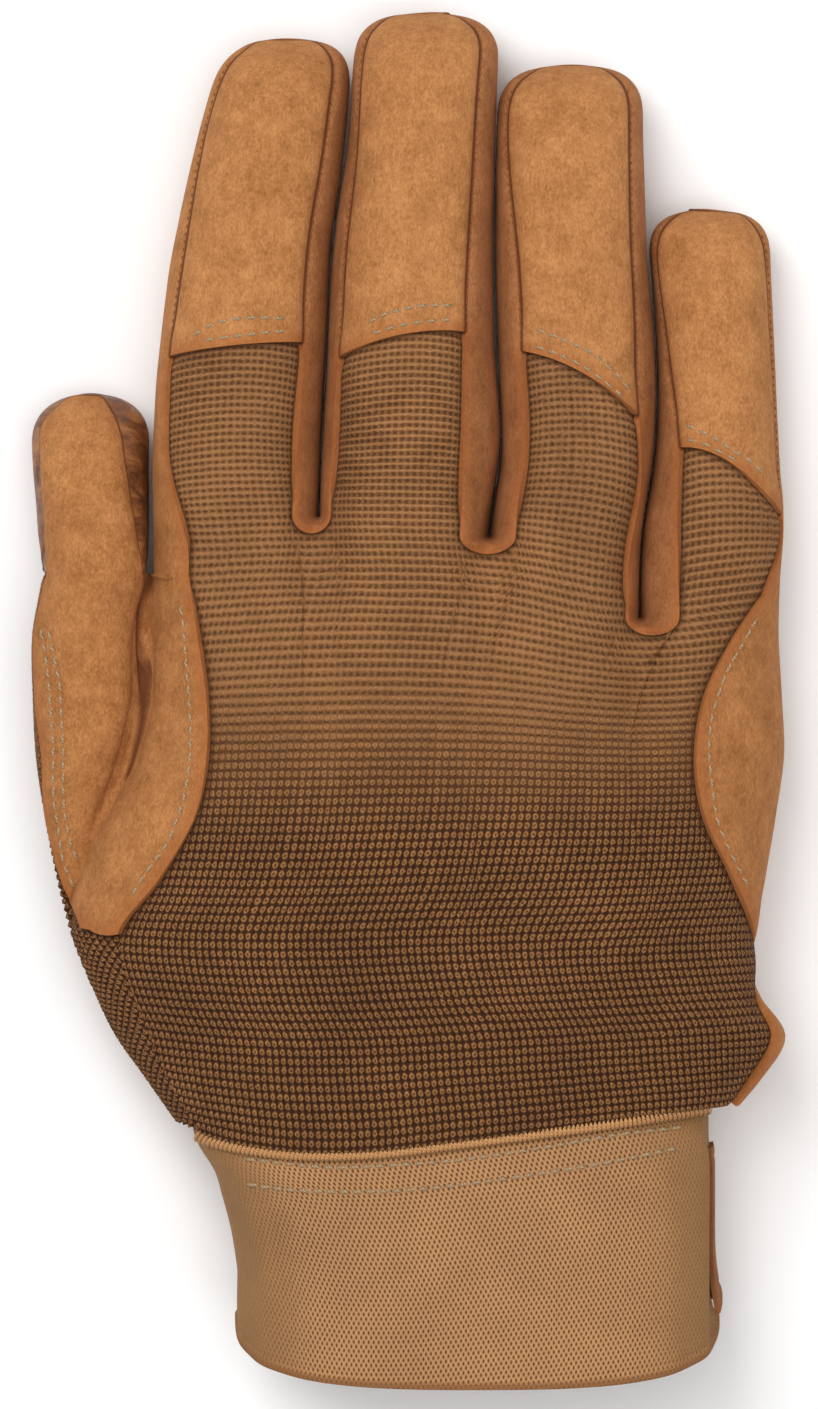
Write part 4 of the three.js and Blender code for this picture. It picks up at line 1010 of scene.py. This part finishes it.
# A grid of cuff points as a skin: its points, faces, outward normals and open edges. Rows run down
# the arm, and a ring's last column meets its first.
def cuffSkin(grid, ring):
    rows, width = grid.shape[0] - 1, grid.shape[1]
    row, column = np.meshgrid(np.arange(rows), np.arange(width if ring else width - 1), indexing="ij")
    a, b = row * width + column, row * width + (column + 1) % width
    quads = np.stack([a, b, b + width, a + width], -1).reshape(-1, 4)
    padded = np.concatenate([grid[:, -1:], grid, grid[:, :1]], 1) if ring else grid
    sidewards = np.gradient(padded, axis=1)
    normals = np.cross(sidewards[:, 1:-1] if ring else sidewards, np.gradient(grid, axis=0))
    normals = normals / np.maximum(np.linalg.norm(normals, axis=2, keepdims=True), 1e-9)
    edges = openEdges(quads, quads, np.zeros(len(quads), int), rows * width + width)[:2]
    return grid.reshape(-1, 3), quads, normals.reshape(-1, 3), edges


# The elastic: holes of the weave in mm, the rolled hem, soft gathers, the flattened place under
# the tab, and the painted shade on its sides
cuffLook = {"rows": 116, "columns": 250, "holeAcross": 0.91, "holeDown": 1.64, "hemRoll": 0.35,
            "hemDip": 0.25, "gathers": 0.22, "uneven": 0.25, "paintedSideShade": 0.85}
tabLook = {"rows": 52, "columns": 150, "sink": 1.5, "thick": 0.8, "flare": 5.2}
rows, columns = cuffLook["rows"], cuffLook["columns"]
share = np.linspace(0, 1, rows + 1)[:, None]
turn = 2 * np.pi * np.arange(columns)[None, :] / columns
grid = cuffPoint(turn + 0 * share, share + 0 * turn, 0)
stepLength = np.linalg.norm(np.roll(grid, -1, axis=1) - grid, axis=2)
girth = np.concatenate([[0], np.cumsum(stepLength[rows // 2])])
girth *= round(girth[-1] / cuffLook["holeAcross"]) / girth[-1]
downLength = running(grid)
toHem = downLength[-1:] - downLength
hem = (cuffLook["hemRoll"] * np.exp(-((toHem - 0.7) / 0.7) ** 2)
       - cuffLook["hemDip"] * np.exp(-((toHem - 1.9) / 0.5) ** 2))
shareTop, shareEnd = ((tabSize["top"] + d) / cuffSize["length"] for d in (cuffSize["lap"], tabSize["width"]))
halfWidth = np.ptp(grid[..., 0], axis=1)[:, None] / 2
reachOut = np.abs(grid[..., 0] - grid[..., 0].mean(1, keepdims=True)) / halfWidth
# Painted shade on the cuff's sides: none across its middle, rising towards its outline
paintedSideShade = cuffLook["paintedSideShade"] * smooth((reachOut - 0.62) / 0.3)
degrees = (np.degrees(turn) + 180) % 360 - 180
under = smooth((degrees - tabSize["to"] + 6) / 6) * smooth((tabSize["from"] + 10 - degrees) / 10)
under = under * smooth((share - shareTop + 0.2) / 0.2) * smooth((shareEnd + 0.12 - share) / 0.12)
gathers = cuffLook["gathers"] * np.sin(17 * turn + 1.3) * np.sin(3 * turn) * smooth((share - 0.12) / 0.3)
points, quads, normals, edges = cuffSkin(grid, True)
uneven = cuffLook["uneven"] * unevenness(points, 21, 31)
relief = (hem + gathers - tabLook["sink"] * under).ravel() + uneven
outer, faces, shownCuff = closedWall(points, quads, normals, edges, walls["cuff"], relief, 0)
row, column = faces % len(points) // columns, faces % len(points) % columns
wrapped = (column == 0) & (column.max(1, keepdims=True) == columns - 1)
uv = np.stack([girth[column + wrapped * columns], downLength[row, column] / cuffLook["holeDown"]], -1)
makePiece("cuff_elastic", outer, faces, elastic, ["cuff"], uv.reshape(-1, 2),
          {"hemMm": np.tile(toHem.ravel(), 2), "paintedSideShade": np.tile(paintedSideShade.ravel(), 2)})
shown["cuff"] = (shownCuff, quads)

share = np.linspace(shareTop, shareEnd, tabLook["rows"] + 1)[:, None]
turn = np.radians(np.linspace(tabSize["to"], tabSize["from"], tabLook["columns"] + 1))[None, :]
flare = tabLook["flare"] * smooth((share - shareEnd + 0.36) / 0.72) ** 2
grid = cuffPoint(turn + 0 * share, share + 0 * turn, tabLook["thick"] - tabLook["sink"] + 0.05 + flare)
points, quads, normals, edges = cuffSkin(grid, False)
rimMm = nearest(points, points[edges[0]])
relief = 0.1 * np.exp(-((rimMm - 0.8) / 0.8) ** 2) - 0.15 * np.exp(-((rimMm - 2.2) / 0.45) ** 2)
outer, faces, shownTab = closedWall(points, quads, normals, edges, tabLook["thick"], relief, 0)
makePiece("tab_suede", outer, faces, tabSuede, ["wrist_tab"], None,
          {"hemMm": np.tile(rimMm, 2), "seamMm": np.full(len(outer), 9.0), "tone": np.ones(len(outer))})
shown["tab"] = (shownTab, quads)

print("glove: stitching")


# The outsides of shown pieces as one tree, to drop places on
def treeOf(keys):
    points, faces, count = [], [], 0
    for key in keys:
        points.append(shown[key][0])
        faces.append(shown[key][1] + count)
        count += len(shown[key][0])
    return BVHTree.FromPolygons(np.concatenate(points).tolist(), np.concatenate(faces).tolist())


# Drops places straight down on the shown surfaces: the points hit, and the surface's normals
def dropOn(tree, xy):
    hits = [tree.ray_cast(Vector((x, y, 120)), Vector((0, 0, -1))) for x, y in xy]
    kept = np.array([hit[0] is not None for hit in hits])
    spots = np.array([hit[0] if hit[0] is not None else (0, 0, 0) for hit in hits], float)
    ways = np.array([hit[1] if hit[0] is not None else (0, 0, 1) for hit in hits], float)
    return spots, ways, kept


# Bent capsules, one for each stitch: six rings of six points from start to end, arched by the
# lift and sunk at both ends, and closed with two faces
def capsules(start, end, normal, radius, lift):
    t = np.linspace(0, 1, 6)[None, :, None, None]
    a = (np.arange(6) * np.pi / 3)[None, None, :, None]
    along = end - start
    along = along / np.maximum(np.linalg.norm(along, axis=1, keepdims=True), 1e-9)
    side = np.cross(normal, along)
    side /= np.maximum(np.linalg.norm(side, axis=1, keepdims=True), 1e-9)
    up = np.cross(along, side)
    s, e, side, up = (v[:, None, None, :] for v in (start, end, side, up))
    thick = radius * np.array([0.25, 0.85, 1, 1, 0.85, 0.25])[None, :, None, None]
    rise = lift * np.sin(np.pi * t) - radius * 0.6 * (1 - np.sin(np.pi * t))
    points = mix(s, e, t) + up * rise + thick * (np.cos(a) * side + np.sin(a) * up)
    ring, corner = np.meshgrid(np.arange(5), np.arange(6), indexing="ij")
    here, beyond = ring * 6 + corner, ring * 6 + (corner + 1) % 6
    faces = np.stack([here, beyond, beyond + 6, here + 6], -1).reshape(-1, 4)
    caps = np.array([[3, 2, 1, 0], [5, 4, 3, 0], [30, 31, 32, 33], [30, 33, 34, 35]])
    faces = np.concatenate([faces, caps])
    total = np.arange(len(start))[:, None, None] * 36 + faces[None]
    return points.reshape(-1, 3), total.reshape(-1, 4)


# Stitches along lines of places, on the surface below them
def stitchPiece(name, lines, tree, look, material):
    starts, ends, ways = [], [], []
    for line in lines:
        path = smoothLine(line, 0.2)
        run = running(path)
        number = max(int(run[-1] / look["pitch"]), 1)
        begin = (np.arange(number) + 0.15) * run[-1] / number
        first, firstWay, kept = dropOn(tree, alongPath(path, run, begin))
        second, secondWay, keptToo = dropOn(tree, alongPath(path, run, begin + look["length"]))
        good = kept & keptToo & (np.minimum(firstWay[:, 2], secondWay[:, 2]) > look["level"])
        good &= np.abs(first[:, 2] - second[:, 2]) < 1.5
        starts.append(first[good])
        ends.append(second[good])
        ways.append((firstWay + secondWay)[good])
    points, faces = capsules(*map(np.concatenate, (starts, ends, ways)), look["radius"], look["lift"])
    makePiece(name, points, faces, material, [])


# Places at given lengths along a path
def alongPath(path, run, at):
    return np.stack([np.interp(at, run, path[:, k]) for k in range(2)], -1)


topTree = treeOf(range(12))
cuffTree = treeOf(["cuff", "tab"])
rowLook = {"pitch": 2.3, "length": 2.05, "radius": 0.27, "lift": 0.22, "level": 0}
cuffRowLook = {**rowLook, "radius": 0.33, "lift": 0.3}
seamLook = {"pitch": 1.4, "length": 0.85, "radius": 0.15, "lift": 0.03, "level": 0.4}
# Rows of stitches, drawn as lines in the view
tipRows = [
    [(191, 342), (201, 337), (209, 331), (222, 327), (241, 324), (262, 323), (300, 325)],
    [(203, 346), (225, 343), (250, 340), (275, 337), (300, 336)],
    [(366, 330), (384, 320), (400, 316), (416, 312), (441, 311), (466, 311)],
    [(369, 340), (381, 337), (400, 331), (419, 328), (441, 326), (466, 325)],
    [(520, 333), (532, 334), (548, 339), (564, 346), (579, 352), (595, 361), (607, 371), (618, 382),
     (629, 395)],
    [(519, 347), (540, 353), (560, 361), (580, 370), (600, 384), (622, 402)],
    [(683, 428), (697, 435), (712, 442), (731, 455), (747, 464), (762, 478)],
    [(683, 444), (700, 447), (716, 455), (737, 466)]]
handRows = [
    [(757, 620), (740, 650), (725, 676), (710, 721), (707, 755), (710, 788), (715, 822), (727, 852),
     (740, 878), (753, 901)],
    [(181, 607), (185, 635), (187, 663), (190, 698), (192, 726), (192, 747), (190, 775), (185, 804),
     (177, 827), (169, 847), (155, 866), (144, 882), (134, 899)]]
thumbRows = [
    [(41, 631), (47, 662), (50, 691), (52, 719), (54, 747), (54, 775), (55, 810), (58, 823),
     (61, 847), (64, 866), (73, 888), (82, 902)],
    [(49, 632), (55, 660), (61, 691), (62, 719), (64, 747), (64, 782), (65, 815), (69, 836),
     (73, 855), (80, 866), (90, 879), (95, 883)],
    [(88, 911), (106, 910), (123, 911)], [(95, 927), (110, 926), (124, 927)]]
cuffRows = [
    [(244, 1160), (328, 1168), (370, 1167), (454, 1161), (538, 1149), (622, 1135), (706, 1127)],
    [(219, 1181), (286, 1190), (349, 1192), (412, 1190), (475, 1183), (538, 1174), (601, 1164),
     (664, 1152), (715, 1143)]]
for name, lines, tree, look, slotName in (
        ("stitching_tips", tipRows, topTree, rowLook, "suede"),
        ("stitching_hand", handRows, topTree, rowLook, "suede"),
        ("stitching_thumb", thumbRows, topTree, rowLook, "suede"),
        ("stitching_cuff", cuffRows, cuffTree, cuffRowLook, "cuff_elastic")):
    stitchPiece(name, [fromView(line) for line in lines], tree, look, paleThread)

# Short closing stitches down the grooves at the sides of the fingertips
seamLines = [fineSkin["lines"][name][2:-9, side, :2] for name in fingers for side in (0, 1)]
stitchPiece("stitching_seams", seamLines, topTree, seamLook, brownThread)

# The cuff's overlocked upper edge: close slanted cords from under the knit's edge onto the elastic
edging = {"from": 0.03, "to": 0.99, "pitch": 0.78, "radius": 0.42, "drop": 1.75, "slant": 0.35, "lift": 0.35}
wristEnds = [mix(sideways("side", 0), sideways("edge", 0), edging[key]) for key in ("from", "to")]
wristX = np.linspace(*wristEnds, 600)
edgeLine = np.stack([wristX, wristY(wristAcross(wristX, 0))], -1)
run = running(edgeLine)
upper = alongPath(edgeLine, run, np.arange(0, run[-1], edging["pitch"]))
knitSpot, knitWay, knitHit = dropOn(topTree, upper + [0, 0.7])
cuffSpot, cuffWay, cuffHit = dropOn(cuffTree, upper - [edging["slant"], edging["drop"]])
good = knitHit & cuffHit
first = np.stack([upper[:, 0], upper[:, 1] + 0.1, mix(cuffSpot[:, 2], knitSpot[:, 2], 0.95) + 0.15], -1)
second = cuffSpot + cuffWay * 0.5
points, faces = capsules(first[good], second[good], (knitWay + cuffWay)[good],
                         edging["radius"], edging["lift"])
makePiece("cuff_edging", points, faces, tanCord, [])

print("glove: stage")
stage = {"half": 3, "below": 0.0003, "grey": 0.97, "world": 0.3}
half, below, grey = stage["half"], -stage["below"], stage["grey"]
floorMesh = bpy.data.meshes.new("floor")
floorMesh.from_pydata([(x * half, y * half, below) for x, y in ((-1, -1), (1, -1), (1, 1), (-1, 1))],
                      [], [(0, 1, 2, 3)])
floorMesh.materials.append(newMaterial("studio paper, pale", {
    "Base Color": (grey, grey, grey, 1), "Roughness": 0.95, "Specular IOR Level": 0.1})[0])
floor = bpy.data.objects.new("floor", floorMesh)
bpy.context.scene.collection.objects.link(floor)


# A round soft lamp, aimed at the glove: place and size in metres, power in watts
def softbox(name, spot, size, power, aim=(0, 0, 0.02)):
    light = bpy.data.lights.new(name, "AREA")
    light.shape, light.size, light.energy = "DISK", size, power
    lamp = bpy.data.objects.new(name, light)
    lamp.location = spot
    lamp.rotation_euler = (Vector(aim) - Vector(spot)).to_track_quat("-Z", "Y").to_euler()
    lamp.visible_camera = False
    bpy.context.scene.collection.objects.link(lamp)


softbox("key", (-0.7, 0.8, 1.7), 1.3, 19)
softbox("fill", (0.9, -0.6, 1.5), 1.3, 7)
softbox("top", (0.0, 0.1, 2.2), 1.6, 21)
world = bpy.data.worlds.new("studio")
world.use_nodes = True
world.node_tree.nodes["Background"].inputs["Color"].default_value = (1, 1, 1, 1)
world.node_tree.nodes["Background"].inputs["Strength"].default_value = stage["world"]
bpy.context.scene.world = world
bpy.context.scene.view_settings.view_transform = "Standard"

# Straight above, 2.8 m away; width is what the view takes in at half the glove's height, in metres
view = {"x": 0.000155, "y": -0.001, "away": 2.8, "height": 0.02, "width": 0.818 / viewScale, "sensor": 36}
camera = bpy.data.objects.new("camera", bpy.data.cameras.new("camera"))
camera.location = (view["x"], view["y"], view["away"])
camera.data.sensor_fit = "HORIZONTAL"
camera.data.sensor_width = view["sensor"]
camera.data.lens = view["sensor"] * (view["away"] - view["height"]) / view["width"]
bpy.context.scene.collection.objects.link(camera)
bpy.context.scene.camera = camera
